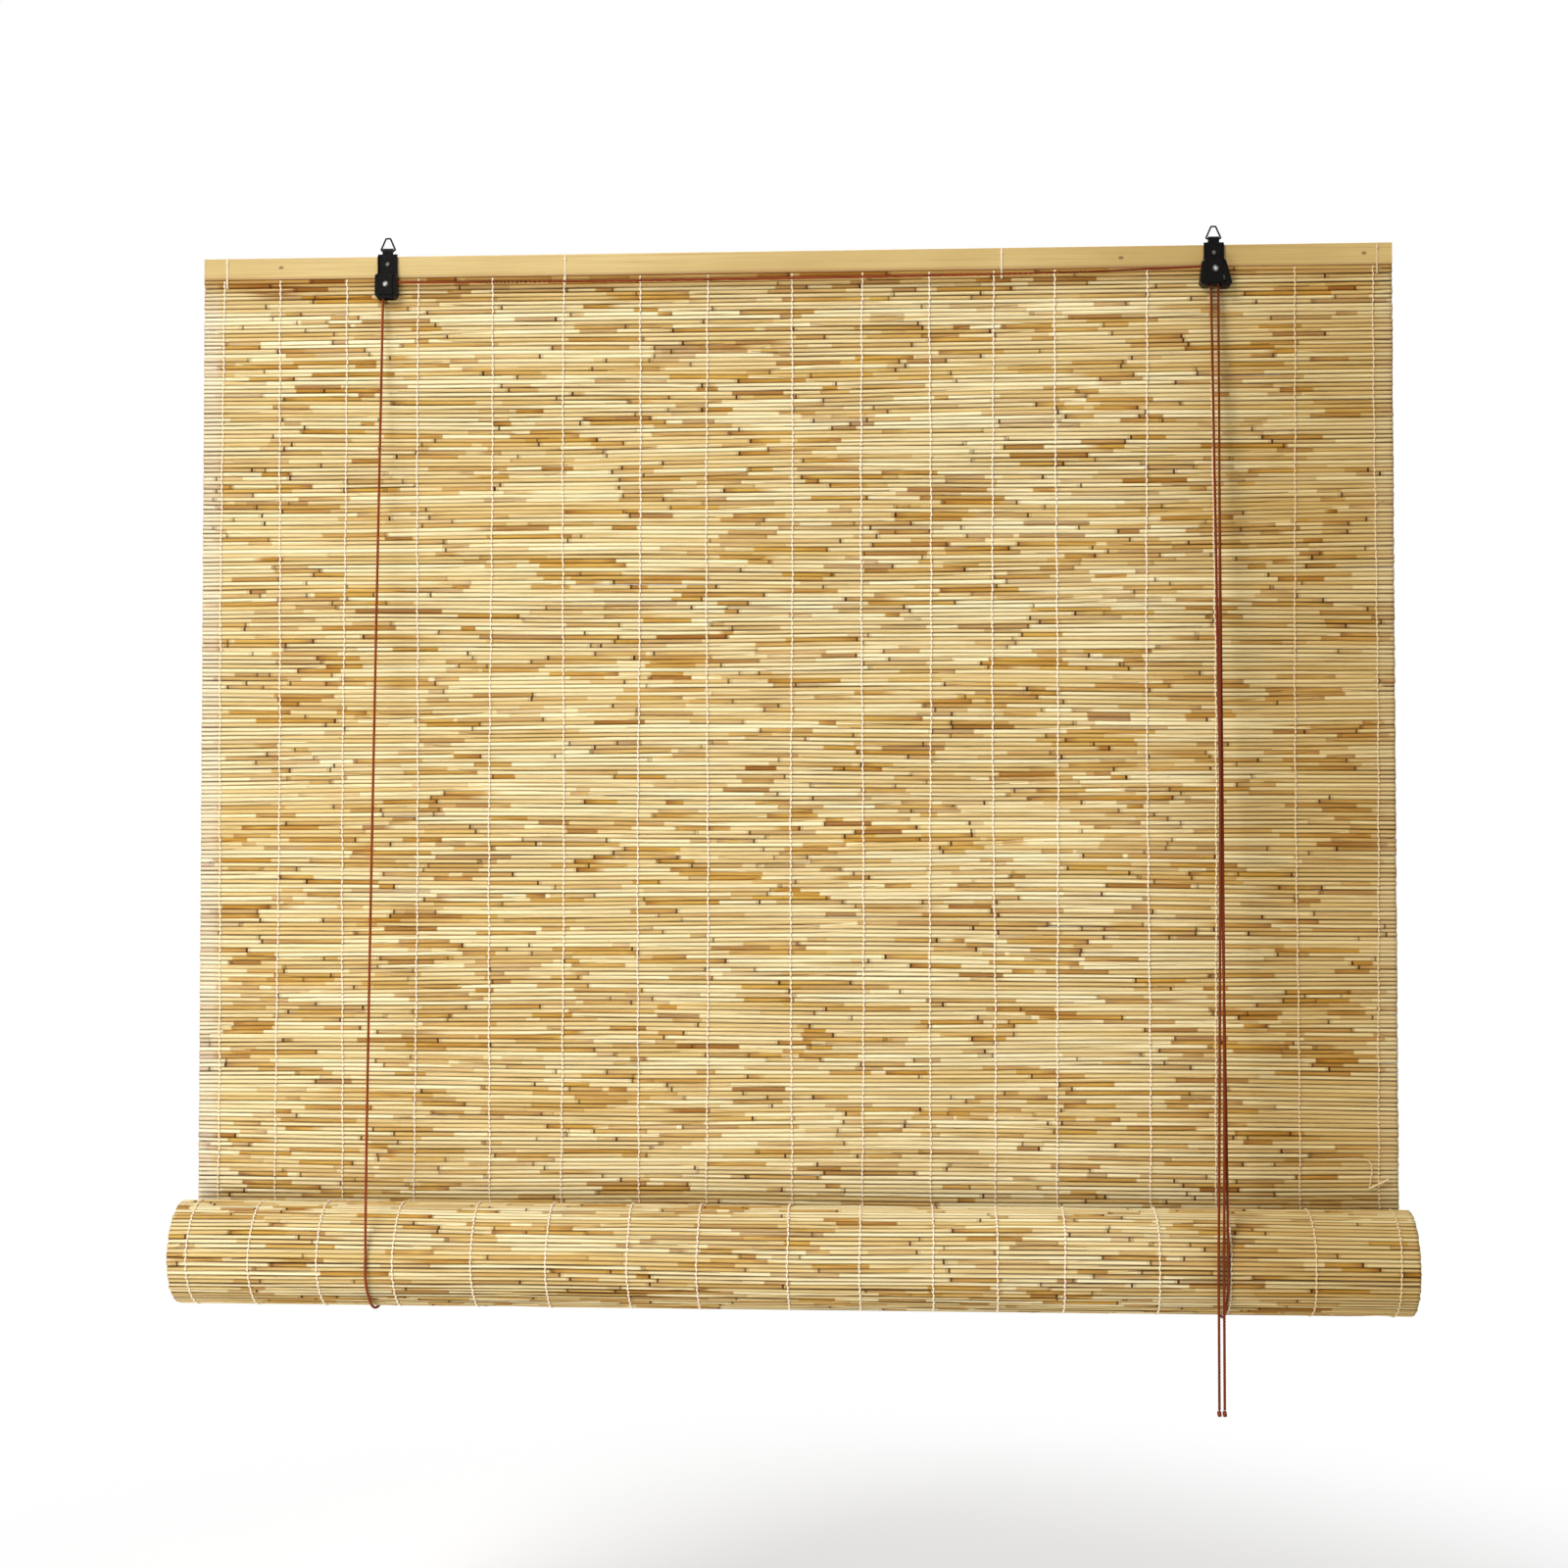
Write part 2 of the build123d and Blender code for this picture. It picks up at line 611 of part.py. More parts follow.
def sling_end(angle):
    """The (y, z) of the cord's middle on the sling circle."""
    return spiral_point(SLING_RADIUS, angle)


def cord_sling(x, angle):
    """The stretch of a lift cord that passes under the roll, from back to front."""
    start = Plane((x, BACK_CORD_Y, ROLL_Z), z_dir=(0, 0, -1)) * Circle(CORD_RADIUS)
    axis = Axis((x, ROLL_Y, ROLL_Z), (-1, 0, 0))
    return revolve(start, axis=axis, revolution_arc=degrees(angle))


def cord_anchor(hanger_x):
    """The lift cord's fixed end: through the headrail, with a stopper knot on top."""
    x, y = hanger_x + CORD_HOLE_OFFSET, BACK_CORD_Y
    knot, height = ANCHOR_KNOT_DIAMETER / 2, ANCHOR_KNOT_HEIGHT
    profile = [
        (0, RAIL_BOTTOM),
        (CORD_RADIUS, RAIL_BOTTOM),
        (CORD_RADIUS, RAIL_TOP),
        (knot * 0.8, RAIL_TOP),
        (knot, RAIL_TOP + height * 0.3),
        (knot, RAIL_TOP + height * 0.7),
        (knot * 0.6, RAIL_TOP + height),
        (0, RAIL_TOP + height),
    ]
    face = make_face(Polyline(*[(x + r, y, z) for r, z in profile], close=True))
    return revolve(face, axis=Axis((x, y, 0), (0, 0, 1)), revolution_arc=360)


def back_run(hanger_x, sling_x):
    """The lift cord behind the mat, from the headrail down to the roll."""
    top = (hanger_x + CORD_HOLE_OFFSET, BACK_CORD_Y, RAIL_BOTTOM)
    return cord_run(top, (sling_x, BACK_CORD_Y, ROLL_Z + CORD_BREAK))


def left_run_start():
    """Where the left lift cord leaves its wheel."""
    return (
        LEFT_HANGER_X - WHEEL_PITCH_RADIUS,
        PULLEY_WHEEL_Y,
        PULLEY_AXLE_Z - WHEEL_FLANGE,
    )


def right_run_start():
    """Where the right lift cord leaves its wheel."""
    return (RIGHT_HANGER_X - WHEEL_PITCH_RADIUS, LIFT_GROOVE_Y, LOCK_AXLE_Z - WHEEL_FLANGE)


def front_run(start, sling_x):
    """The lift cord in front of the mat, from its wheel down to the roll."""
    y, z = sling_end(front_tangent(start[1], start[2]))
    return cord_run(start, (sling_x, y, z + CORD_BREAK))


def transfer_cord():
    """The left cord over its wheel, along the headrail, over the lock's wheel and down."""
    start = left_run_start()
    right = RIGHT_HANGER_X + WHEEL_PITCH_RADIUS
    points = [
        start,
        (start[0], PULLEY_WHEEL_Y, PULLEY_AXLE_Z + WHEEL_PITCH_RADIUS),
        (right, TRANSFER_GROOVE_Y, LOCK_AXLE_Z + WHEEL_PITCH_RADIUS),
        (right, TRANSFER_GROOVE_Y, LOCK_EXIT_Z),
    ]
    return cord_along(FilletPolyline(*points, radius=WHEEL_PITCH_RADIUS))


def lock_cord():
    """The right cord over the lock's wheel and down beside the roller."""
    start = right_run_start()
    y, radius = LIFT_GROOVE_Y, WHEEL_PITCH_RADIUS
    left, right = RIGHT_HANGER_X - radius, RIGHT_HANGER_X + radius
    path = Curve() + [
        Line(start, (left, y, LOCK_AXLE_Z)),
        ThreePointArc(
            (left, y, LOCK_AXLE_Z),
            (RIGHT_HANGER_X, y, LOCK_AXLE_Z + radius),
            (right, y, LOCK_AXLE_Z),
        ),
        Line((right, y, LOCK_AXLE_Z), (right, y, LOCK_EXIT_Z)),
    ]
    return cord_along(Wire(path.edges()))


def pull_cord_top(groove_y):
    """Where a pull cord leaves the lock."""
    return (RIGHT_HANGER_X + WHEEL_PITCH_RADIUS, groove_y, LOCK_EXIT_Z)


def pull_cord_bend(x):
    """Where a pull cord rests against the front of the roll."""
    return (x, ROLL_Y - SLING_RADIUS, ROLL_Z)


def pull_cord_upper(groove_y, x, bow):
    """A pull cord from the lock to the roll, passing in front of the right lift cord."""
    top, bend = Vector(*pull_cord_top(groove_y)), Vector(*pull_cord_bend(x))
    cross_share = (top.X - RIGHT_SLING_X) / (top.X - bend.X)
    start, lift_end = Vector(*right_run_start()), Vector(*pull_cord_bend(RIGHT_SLING_X))
    crossing = top + (bend - top) * cross_share
    lift_share = (start.Z - crossing.Z) / (start.Z - lift_end.Z)
    lift_y = start.Y + (lift_end.Y - start.Y) * lift_share
    middle = (crossing.X, lift_y - bow, crossing.Z)
    end = (bend.X, bend.Y, bend.Z + CORD_BREAK)
    return cord_run(tuple(top), middle) + cord_run(middle, end)


def pull_cord_lower(x):
    """A pull cord from the roll's front down to its end knot."""
    x, y, z = pull_cord_bend(x)
    return cord_run((x, y, z), (x, y, PULL_CORD_END_Z + CORD_BREAK))


def pull_cord_knot(x):
    """The plain knot at a pull cord's end."""
    knot, height = END_KNOT_DIAMETER / 2, END_KNOT_HEIGHT
    y, top = pull_cord_bend(x)[1], PULL_CORD_END_Z
    profile = [
        (0, top),
        (knot * 0.6, top),
        (knot, top - height * 0.3),
        (knot, top - height * 0.7),
        (knot * 0.6, top - height),
        (0, top - height),
    ]
    face = make_face(Polyline(*[(x + r, y, z) for r, z in profile], close=True))
    return revolve(face, axis=Axis((x, y, 0), (0, 0, 1)), revolution_arc=360)


def blind():
    """Every sub-part by name."""
    left_front, right_front = left_run_start(), right_run_start()
    left_angle = front_tangent(left_front[1], left_front[2])
    right_angle = front_tangent(right_front[1], right_front[2])
    parts = {"headrail": headrail(), "mat_panel": mat_panel(), "mat_roll": mat_roll()}
    parts["bottom_rail"] = bottom_rail()
    for number, x in enumerate(TIE_PLACES, start=1):
        parts[f"headrail_tie_{number}"] = headrail_tie(x)
    parts["left_bracket"] = bracket(LEFT_HANGER_X, PULLEY_SHELF_Z, PULLEY_DEPTH, PULLEY_AXLE_Z)
    parts["right_bracket"] = bracket(RIGHT_HANGER_X, LOCK_SHELF_Z, LOCK_DEPTH, LOCK_AXLE_Z)
    parts["left_ring"] = hanging_ring(LEFT_HANGER_X)
    parts["right_ring"] = hanging_ring(RIGHT_HANGER_X)
    parts["left_screw"] = mounting_screw(LEFT_HANGER_X)
    parts["right_screw"] = mounting_screw(RIGHT_HANGER_X)
    parts["pulley_housing"] = pulley_housing()
    parts["pulley_wheel"] = grooved_wheel(LEFT_HANGER_X, PULLEY_AXLE_Z, [PULLEY_WHEEL_Y])
    parts["pulley_axle"] = axle(LEFT_HANGER_X, PULLEY_AXLE_Z, PULLEY_DEPTH)
    parts["lock_housing"] = lock_housing()
    lock_grooves = [LIFT_GROOVE_Y, TRANSFER_GROOVE_Y]
    parts["lock_wheel"] = grooved_wheel(RIGHT_HANGER_X, LOCK_AXLE_Z, lock_grooves)
    parts["lock_axle"] = axle(RIGHT_HANGER_X, LOCK_AXLE_Z, LOCK_DEPTH)
    parts["lock_roller"] = lock_roller()
    parts["left_cord_anchor"] = cord_anchor(LEFT_HANGER_X)
    parts["right_cord_anchor"] = cord_anchor(RIGHT_HANGER_X)
    parts["left_cord_back"] = back_run(LEFT_HANGER_X, LEFT_SLING_X)
    parts["right_cord_back"] = back_run(RIGHT_HANGER_X, RIGHT_SLING_X)
    parts["left_cord_sling"] = cord_sling(LEFT_SLING_X, left_angle)
    parts["right_cord_sling"] = cord_sling(RIGHT_SLING_X, right_angle)
    parts["left_cord_front"] = front_run(left_front, LEFT_SLING_X)
    parts["right_cord_front"] = front_run(right_front, RIGHT_SLING_X)
    parts["transfer_cord"] = transfer_cord()
    parts["lock_cord"] = lock_cord()
    parts["pull_cord_a_upper"] = pull_cord_upper(LIFT_GROOVE_Y, PULL_CORD_A_X, PULL_CORD_A_BOW)
    parts["pull_cord_b_upper"] = pull_cord_upper(TRANSFER_GROOVE_Y, PULL_CORD_B_X, PULL_CORD_B_BOW)
    parts["pull_cord_a_lower"] = pull_cord_lower(PULL_CORD_A_X)
    parts["pull_cord_b_lower"] = pull_cord_lower(PULL_CORD_B_X)
    parts["pull_cord_a_knot"] = pull_cord_knot(PULL_CORD_A_X)
    parts["pull_cord_b_knot"] = pull_cord_knot(PULL_CORD_B_X)
    return parts


os.makedirs("parts", exist_ok=True)
for node, shape in blind().items():
    export_step(shape, f"parts/{node}.step")
print(f"roll axis at y {ROLL_Y:.2f}, z {ROLL_Z:.2f}, with {roll_turns():.2f} turns")
print(f"lift cords leave the wheels at {left_run_start()} and {right_run_start()}")
print(f"roller runs along {roller_direction()} from x {RIGHT_HANGER_X + roller_rest():.2f}")
print(f"cord arcs: {WHEEL_PITCH_RADIUS} on the wheels and {SLING_RADIUS:.2f} under the roll")
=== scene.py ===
"""The bamboo roll-up blind: its looks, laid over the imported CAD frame.

Lengths are in metres. X runs along the blind, -Y is its front and +Z is up, and the
origin is the middle of the headrail's back face.
"""

import math
import random

import bpy
from mathutils import Matrix, Vector

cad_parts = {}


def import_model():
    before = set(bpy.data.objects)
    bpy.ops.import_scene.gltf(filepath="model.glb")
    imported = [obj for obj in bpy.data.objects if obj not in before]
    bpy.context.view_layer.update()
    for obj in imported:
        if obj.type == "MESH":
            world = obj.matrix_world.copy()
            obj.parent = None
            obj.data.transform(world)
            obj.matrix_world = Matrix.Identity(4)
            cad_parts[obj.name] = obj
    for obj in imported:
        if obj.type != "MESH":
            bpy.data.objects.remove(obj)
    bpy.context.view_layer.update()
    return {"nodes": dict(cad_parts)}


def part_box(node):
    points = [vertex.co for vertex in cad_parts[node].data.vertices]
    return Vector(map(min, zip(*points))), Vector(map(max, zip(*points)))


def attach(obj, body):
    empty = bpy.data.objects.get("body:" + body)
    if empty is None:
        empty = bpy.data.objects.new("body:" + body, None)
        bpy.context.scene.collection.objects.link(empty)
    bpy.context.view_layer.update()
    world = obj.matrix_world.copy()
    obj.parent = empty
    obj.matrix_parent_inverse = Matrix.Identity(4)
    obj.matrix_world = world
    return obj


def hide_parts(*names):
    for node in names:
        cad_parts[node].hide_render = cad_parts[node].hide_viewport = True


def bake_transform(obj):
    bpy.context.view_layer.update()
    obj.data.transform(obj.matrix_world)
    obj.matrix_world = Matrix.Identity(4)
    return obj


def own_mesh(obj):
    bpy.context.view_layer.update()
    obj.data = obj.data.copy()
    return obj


MM = 0.001

# The mat, as the CAD model has it
HALF_WIDTH = 0.6
RAIL_BOTTOM = -11 * MM
REED_PITCH = 4.2 * MM
SOLID_REED_RADIUS = 2 * MM
HANGING_ROWS = 233
MAT_Y = -7.2 * MM

# Dressed reeds are a little fuller than the solid mat's ridges, so that rows meet
REED_RADIUS = 2.25 * MM

# The hanging rows come in three pieces, and the upper one keeps its shape
UPPER_ROWS = 42
FIRST_LOWER_ROW = 138

# The roll, and how far it can be raised
ROLL_RADIUS = 52 * MM
ROLL_Y = -57.2 * MM
ROLL_Z = RAIL_BOTTOM - HANGING_ROWS * REED_PITCH
TURN_SPACING = 4.5 * MM
ROLL_TURNS = 7.75
OUTER_TURNS = 1.06

# Stitch threads
THREAD_PLACES_MM = (
    -580, -520, -453, -378, -303, -229, -152, -83, 2,
    73, 141, 204, 267, 357, 423, 503, 582,
)  # fmt: skip
THREAD_RADIUS = 0.9 * MM
BACK_THREAD_RADIUS = 0.65 * MM

# Cords of twisted strands
CORD_DIAMETER = 2.5 * MM
CORD_RADIUS = CORD_DIAMETER / 2
CORD_STRANDS = 3
STRAND_SIDES = 4
STRAND_PITCH = 9 * MM
STRAND_BULGE = 0.1
BACK_CORD_Y = -3.65 * MM

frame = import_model()


# Meshes


def new_object(name, data):
    """An object in the scene."""
    obj = bpy.data.objects.new(name, data)
    bpy.context.scene.collection.objects.link(obj)
    return obj


class Shape:
    """A mesh in the making, with named values on its points for the material."""

    def __init__(self, *value_names):
        self.points = []
        self.faces = []
        self.values = {name: [] for name in value_names}

    def ring(self, points, **values):
        """Add one ring of points and return the number of its first."""
        first = len(self.points)
        self.points.extend(points)
        for name, column in self.values.items():
            value = values.get(name, 0.0)
            column.extend(value if isinstance(value, list) else [value] * len(points))
        return first

    def join(self, first, second, count):
        """Close the wall between two rings."""
        for i in range(count):
            j = (i + 1) % count
            self.faces.append((first + j, first + i, second + i, second + j))

    def cap(self, first, count, facing_back):
        """Close one ring with a flat face."""
        ring = range(first, first + count)
        self.faces.append(tuple(ring) if facing_back else tuple(reversed(ring)))

    def made(self, name, material):
        """The finished object."""
        mesh = bpy.data.meshes.new(name)
        mesh.from_pydata(self.points, [], self.faces)
        for value_name, column in self.values.items():
            attribute = mesh.attributes.new(value_name, "FLOAT", "POINT")
            attribute.data.foreach_set("value", column)
        mesh.polygons.foreach_set("use_smooth", [True] * len(mesh.polygons))
        mesh.materials.append(material)
        return new_object(name, mesh)


def smooth(share):
    """A soft step from 0 to 1."""
    share = min(max(share, 0.0), 1.0)
    return share * share * (3 - 2 * share)


def add_tube(
    shape, line, radius, sides, lobes=0, twist_pitch=0.0, closed=False, along=None, **values
):  # fmt: skip
    """Sweep a round or lobed section along a line.

    The values hold all along it, and the lists in along hold one for each of its points.
    """
    count = len(line)
    normal, length, rings = None, 0.0, []
    for i, point in enumerate(line):
        before = line[i - 1] if (i or closed) else point
        after = line[(i + 1) % count] if (i < count - 1 or closed) else point
        tangent = (after - before).normalized()
        if normal is None:
            normal = tangent.orthogonal()
        normal = (normal - tangent * normal.dot(tangent)).normalized()
        side = tangent.cross(normal)
        if i:
            length += (point - line[i - 1]).length
        turn = 2 * math.pi * length / twist_pitch if twist_pitch else 0.0
        ring = []
        for k in range(sides):
            angle = 2 * math.pi * k / sides
            reach = radius * (1 + STRAND_BULGE * math.cos(lobes * angle)) if lobes else radius
            around = angle + turn
            ring.append(point + (normal * math.cos(around) - side * math.sin(around)) * reach)
        local = {name: column[i] for name, column in (along or {}).items()}
        rings.append(shape.ring(ring, run=length, **local, **values))
    for first, second in zip(rings, rings[1:]):
        shape.join(first, second, sides)
    if closed:
        shape.join(rings[-1], rings[0], sides)
    else:
        shape.cap(rings[0], sides, True)
        shape.cap(rings[-1], sides, False)


# Materials


def srgb(red, green, blue):
    """A screen colour from 0 to 255 as Blender's linear colour."""
    scaled = (channel / 255 for channel in (red, green, blue))
    return (*(c / 12.92 if c < 0.04045 else ((c + 0.055) / 1.055) ** 2.4 for c in scaled), 1.0)


PALE_REED = srgb(255, 242, 196)
TAN_REED = srgb(224, 193, 126)
# Brown streaks in the reeds, and also the tint of the painted shade just under the headrail
STREAK_AND_SHADE = srgb(206, 168, 94)
GOLDEN_REED = srgb(212, 168, 76)
OCHRE_REED = srgb(188, 134, 50)
BROWN_REED = srgb(146, 88, 32)
BLEACHED = srgb(232, 222, 202)
# A tint that paints shade: towards the right, where the light falls off, and under the headrail
SHADE_TINT = srgb(222, 208, 178)
# Painted shade where each reed meets its neighbours
CREVICE_SHADE = srgb(72, 42, 5)
# Dark marks at joints and cuts, and also painted shadow in the deepest crevices and painted
# shade in the bores of open ends
DARK_MARK_AND_SHADE = srgb(66, 30, 5)

# Where the painted shade on the right side begins, and where it is full
SHADE_FROM, SHADE_TO = 0.3, 0.52

# A brown blotch near the top left, at x and at its height times BLOTCH_FLATNESS
BLOTCH_FLATNESS = 4.5
BLOTCH = (-0.528, 0.0, -0.095)

# Small brown knots on the headrail's face, at x and z
RAIL_KNOTS = ((-0.5203, 0.0012), (0.3321, -0.0008), (0.5724, 0.0004))

# Rivets and screws, whose heads get painted shade on their rims, leaving a small bright middle
ROUND_HEADS = ("pulley_axle", "lock_axle", "left_screw", "right_screw")


class Surface:
    """A procedural material, put together node by node."""

    def __init__(self, name, **constants):
        self.material = bpy.data.materials.new(name)
        self.material.use_nodes = True
        self.tree = self.material.node_tree
        self.shader = self.tree.nodes["Principled BSDF"]
        for socket, value in constants.items():
            name = socket.replace("_", " ").title().replace("Ior", "IOR")
            self.shader.inputs[name].default_value = value

    def node(self, kind, inputs=None, **settings):
        """Add a node; an input is a value or another node's output."""
        made = self.tree.nodes.new("ShaderNode" + kind)
        for key, value in settings.items():
            setattr(made, key, value)
        for key, value in (inputs or {}).items():
            if isinstance(value, bpy.types.NodeSocket):
                self.tree.links.new(value, made.inputs[key])
            else:
                made.inputs[key].default_value = value
        return made

    def place(self):
        """The surface point in the object's own metres."""
        return self.node("TexCoord").outputs["Object"]

    def value(self, name):
        """A value that the mesh carries on its points."""
        return self.node("Attribute", attribute_name=name).outputs["Fac"]

    def math(self, operation, a, b=0.0, clamp=False):
        """One calculation on two values."""
        return self.node("Math", {0: a, 1: b}, operation=operation, use_clamp=clamp).outputs[0]

    def stretched(self, place, scale, offset=None):
        """A place scaled differently along each axis, for grain."""
        made = self.node("VectorMath", {0: place, 1: scale}, operation="MULTIPLY").outputs[0]
        if offset is None:
            return made
        return self.node("VectorMath", {0: made, 1: offset}, operation="ADD").outputs[0]

    def noise(self, place, scale=1.0, detail=3.0, roughness=0.55):
        """Cloudy values about a half."""
        inputs = {"Vector": place, "Scale": scale, "Detail": detail, "Roughness": roughness}
        return self.node("TexNoise", inputs).outputs["Fac"]

    def band(self, value, low, high, to_low=0.0, to_high=1.0):
        """A value taken smoothly from one range to another."""
        inputs = {0: value, 1: low, 2: high, 3: to_low, 4: to_high}
        return self.node("MapRange", inputs, interpolation_type="SMOOTHSTEP").outputs[0]

    def distance(self, place, point):
        """How far a place is from a point."""
        made = self.node("VectorMath", {0: place, 1: point}, operation="DISTANCE")
        return made.outputs["Value"]

    def mix(self, share, a, b, blend="MIX"):
        """A share of the way from one colour to the other."""
        made = self.node("Mix", {0: share, 6: a, 7: b}, data_type="RGBA", blend_type=blend)
        return made.outputs[2]

    def paint(self, colour):
        self.tree.links.new(colour, self.shader.inputs["Base Color"])

    def roughen(self, value):
        self.tree.links.new(value, self.shader.inputs["Roughness"])

    def bump(self, height, distance, strength=1.0):
        inputs = {"Height": height, "Distance": distance, "Strength": strength}
        made = self.node("Bump", inputs)
        self.tree.links.new(made.outputs[0], self.shader.inputs["Normal"])


def reed_colour(s, seed, streaks):
    """Pale or tan reeds with brown streaks, and their golden stretches."""
    patches = s.noise(s.stretched(s.place(), (14.0, 160.0, 160.0), seed), detail=2.0)
    pale = s.mix(s.value("tone"), PALE_REED, TAN_REED)
    pale = s.mix(s.band(streaks, 0.42, 0.72, 0.0, 0.8), pale, STREAK_AND_SHADE)
    golden = s.mix(s.band(patches, 0.35, 0.65), GOLDEN_REED, OCHRE_REED)
    golden = s.mix(s.value("brown"), golden, BROWN_REED)
    strength = s.math("MULTIPLY", s.value("gold"), s.band(streaks, 0.2, 0.5, 0.8, 1.0), True)
    return s.mix(strength, pale, golden)


def weathered_and_shaded(s, colour, streaks):
    """Bleached ends of the hanging rows, painted shade on the right side and under the headrail,
    and one blotch.
    """
    across, depth, height = s.node("SeparateXYZ", {0: s.place()}).outputs
    left_bleach = s.band(across, -0.577, -0.589, 0.0, 0.5)
    right_bleach = s.band(across, 0.572, 0.592, 0.0, 0.25)
    hanging = s.band(depth, -0.018, -0.014)
    bleach = s.math("MULTIPLY", s.math("MAXIMUM", left_bleach, right_bleach), hanging)
    colour = s.mix(bleach, colour, BLEACHED)
    # Painted shade: darker towards the right, where the light falls off, and over the top rows
    # under the headrail
    right_shade = s.band(across, SHADE_FROM, SHADE_TO, 0.0, 0.8)
    under_rail_shade = s.band(height, -0.05, -0.02, 0.0, 0.72)
    colour = s.mix(s.math("MAXIMUM", right_shade, under_rail_shade), colour, SHADE_TINT, "MULTIPLY")
    # Painted shade: a darker band just under the headrail
    colour = s.mix(s.band(height, -0.028, -0.013, 0.0, 0.7), colour, STREAK_AND_SHADE, "MULTIPLY")
    far = s.distance(s.stretched(s.place(), (1.0, 0.0, BLOTCH_FLATNESS)), BLOTCH)
    blotch = s.math("MULTIPLY", s.band(far, 0.045, 0.015), s.band(streaks, 0.35, 0.6))
    return s.mix(blotch, colour, BROWN_REED)


def paint_crevice_shade(s, colour, seed):
    """Painted shade on the reeds' sides where they meet, in places darker still as painted
    shadow.
    """
    depths = s.noise(s.stretched(s.place(), (11.0, 240.0, 240.0), seed), detail=2.0)
    side = s.value("edge")
    edge = s.math("MULTIPLY", side, s.band(depths, 0.35, 0.6, 0.7, 1.15), True)
    colour = s.mix(s.math("MULTIPLY", edge, 0.92), colour, CREVICE_SHADE)
    # Near-black painted shadow where the crevices look deepest
    deepest = s.math("MULTIPLY", s.band(depths, 0.6, 0.68, 0.0, 0.85), s.band(side, 0.45, 0.9))
    return s.mix(deepest, colour, DARK_MARK_AND_SHADE)


def dark_marks(s, colour, seed):
    """Dark spots beside joints and cuts, and painted shade in the bore of an open end."""
    spots = s.noise(s.stretched(s.place(), (900.0, 900.0, 900.0), seed), detail=1.0)
    gap = s.value("gap")
    dot = s.math("MULTIPLY", s.band(gap, 0.0002, 0.0006), s.band(gap, 0.0030, 0.0022))
    patchy = s.band(spots, 0.3, 0.5, 0.55, 1.0)
    dark = s.math("MULTIPLY", s.math("MULTIPLY", dot, s.value("dark")), patchy, True)
    colour = s.mix(dark, colour, DARK_MARK_AND_SHADE)
    # Painted shade in an open end's bore, deepening towards its bottom
    return s.mix(s.value("hollow"), colour, DARK_MARK_AND_SHADE)


def reed_material():
    """Split bamboo reeds: pale, with golden stretches that stop sharply at a joint."""
    s = Surface("reeds", specular_ior_level=0.06)
    seed_value = s.value("seed")
    seed = s.node("CombineXYZ", {0: seed_value, 1: seed_value, 2: seed_value}).outputs[0]
    streaks = s.noise(s.stretched(s.place(), (9.0, 620.0, 620.0), seed), detail=4.0)
    fine = s.noise(s.stretched(s.place(), (60.0, 2600.0, 2600.0), seed), detail=2.0)
    colour = weathered_and_shaded(s, reed_colour(s, seed, streaks), streaks)
    colour = dark_marks(s, paint_crevice_shade(s, colour, seed), seed)
    shade = s.band(fine, 0.3, 0.7, 0.9, 1.04)
    grey = s.node("CombineColor", {0: shade, 1: shade, 2: shade}).outputs[0]
    s.paint(s.mix(1.0, colour, grey, "MULTIPLY"))
    s.roughen(s.band(streaks, 0.3, 0.7, 0.55, 0.75))
    relief = s.math("ADD", s.math("MULTIPLY", streaks, 0.6), s.math("MULTIPLY", fine, 0.4))
    s.bump(relief, 0.00025, 0.6)
    return s.material


def rail_material():
    """Planed bamboo with long grain, fibres, small brown knots, a darker lower edge and painted
    shade towards the right.
    """
    s = Surface("headrail_bamboo", specular_ior_level=0.4)
    place = s.place()
    grain = s.noise(s.stretched(place, (5.0, 420.0, 420.0)), detail=5.0, roughness=0.65)
    fibres = s.noise(s.stretched(place, (22.0, 1900.0, 1900.0)), detail=2.0)
    clouds = s.noise(s.stretched(place, (4.0, 20.0, 20.0)), detail=2.0)
    colour = s.mix(s.band(clouds, 0.3, 0.7), srgb(203, 178, 117), srgb(186, 158, 97))
    colour = s.mix(s.band(grain, 0.45, 0.75, 0.0, 0.7), colour, srgb(174, 141, 82))
    colour = s.mix(s.band(fibres, 0.6, 0.8, 0.0, 0.55), colour, srgb(158, 118, 62))
    knots = None
    for x, z in RAIL_KNOTS:
        far = s.distance(s.stretched(place, (0.6, 0.0, 1.0)), (0.6 * x, 0.0, z))
        knot = s.band(far, 0.0008, 0.0022, 1.0, 0.0)
        knots = knot if knots is None else s.math("MAXIMUM", knots, knot)
    colour = s.mix(s.math("MULTIPLY", knots, 0.8), colour, srgb(104, 64, 30))
    across, _, height = s.node("SeparateXYZ", {0: place}).outputs
    # Darker along the lower edge, in patches
    lower_edge_patches = s.band(clouds, 0.3, 0.6, 0.35, 0.8)
    lower_edge = s.math("MULTIPLY", s.band(height, -0.0068, -0.0112), lower_edge_patches)
    colour = s.mix(lower_edge, colour, srgb(150, 104, 54))
    # Painted shade: darker towards the right, where the light falls off
    s.paint(s.mix(s.band(across, 0.2, 0.5, 0.0, 0.4), colour, SHADE_TINT, "MULTIPLY"))
    s.roughen(s.band(grain, 0.3, 0.7, 0.42, 0.58))
    relief = s.math("ADD", s.math("MULTIPLY", grain, 0.6), s.math("MULTIPLY", fibres, 0.4))
    s.bump(relief, 0.0002, 0.5)
    return s.material


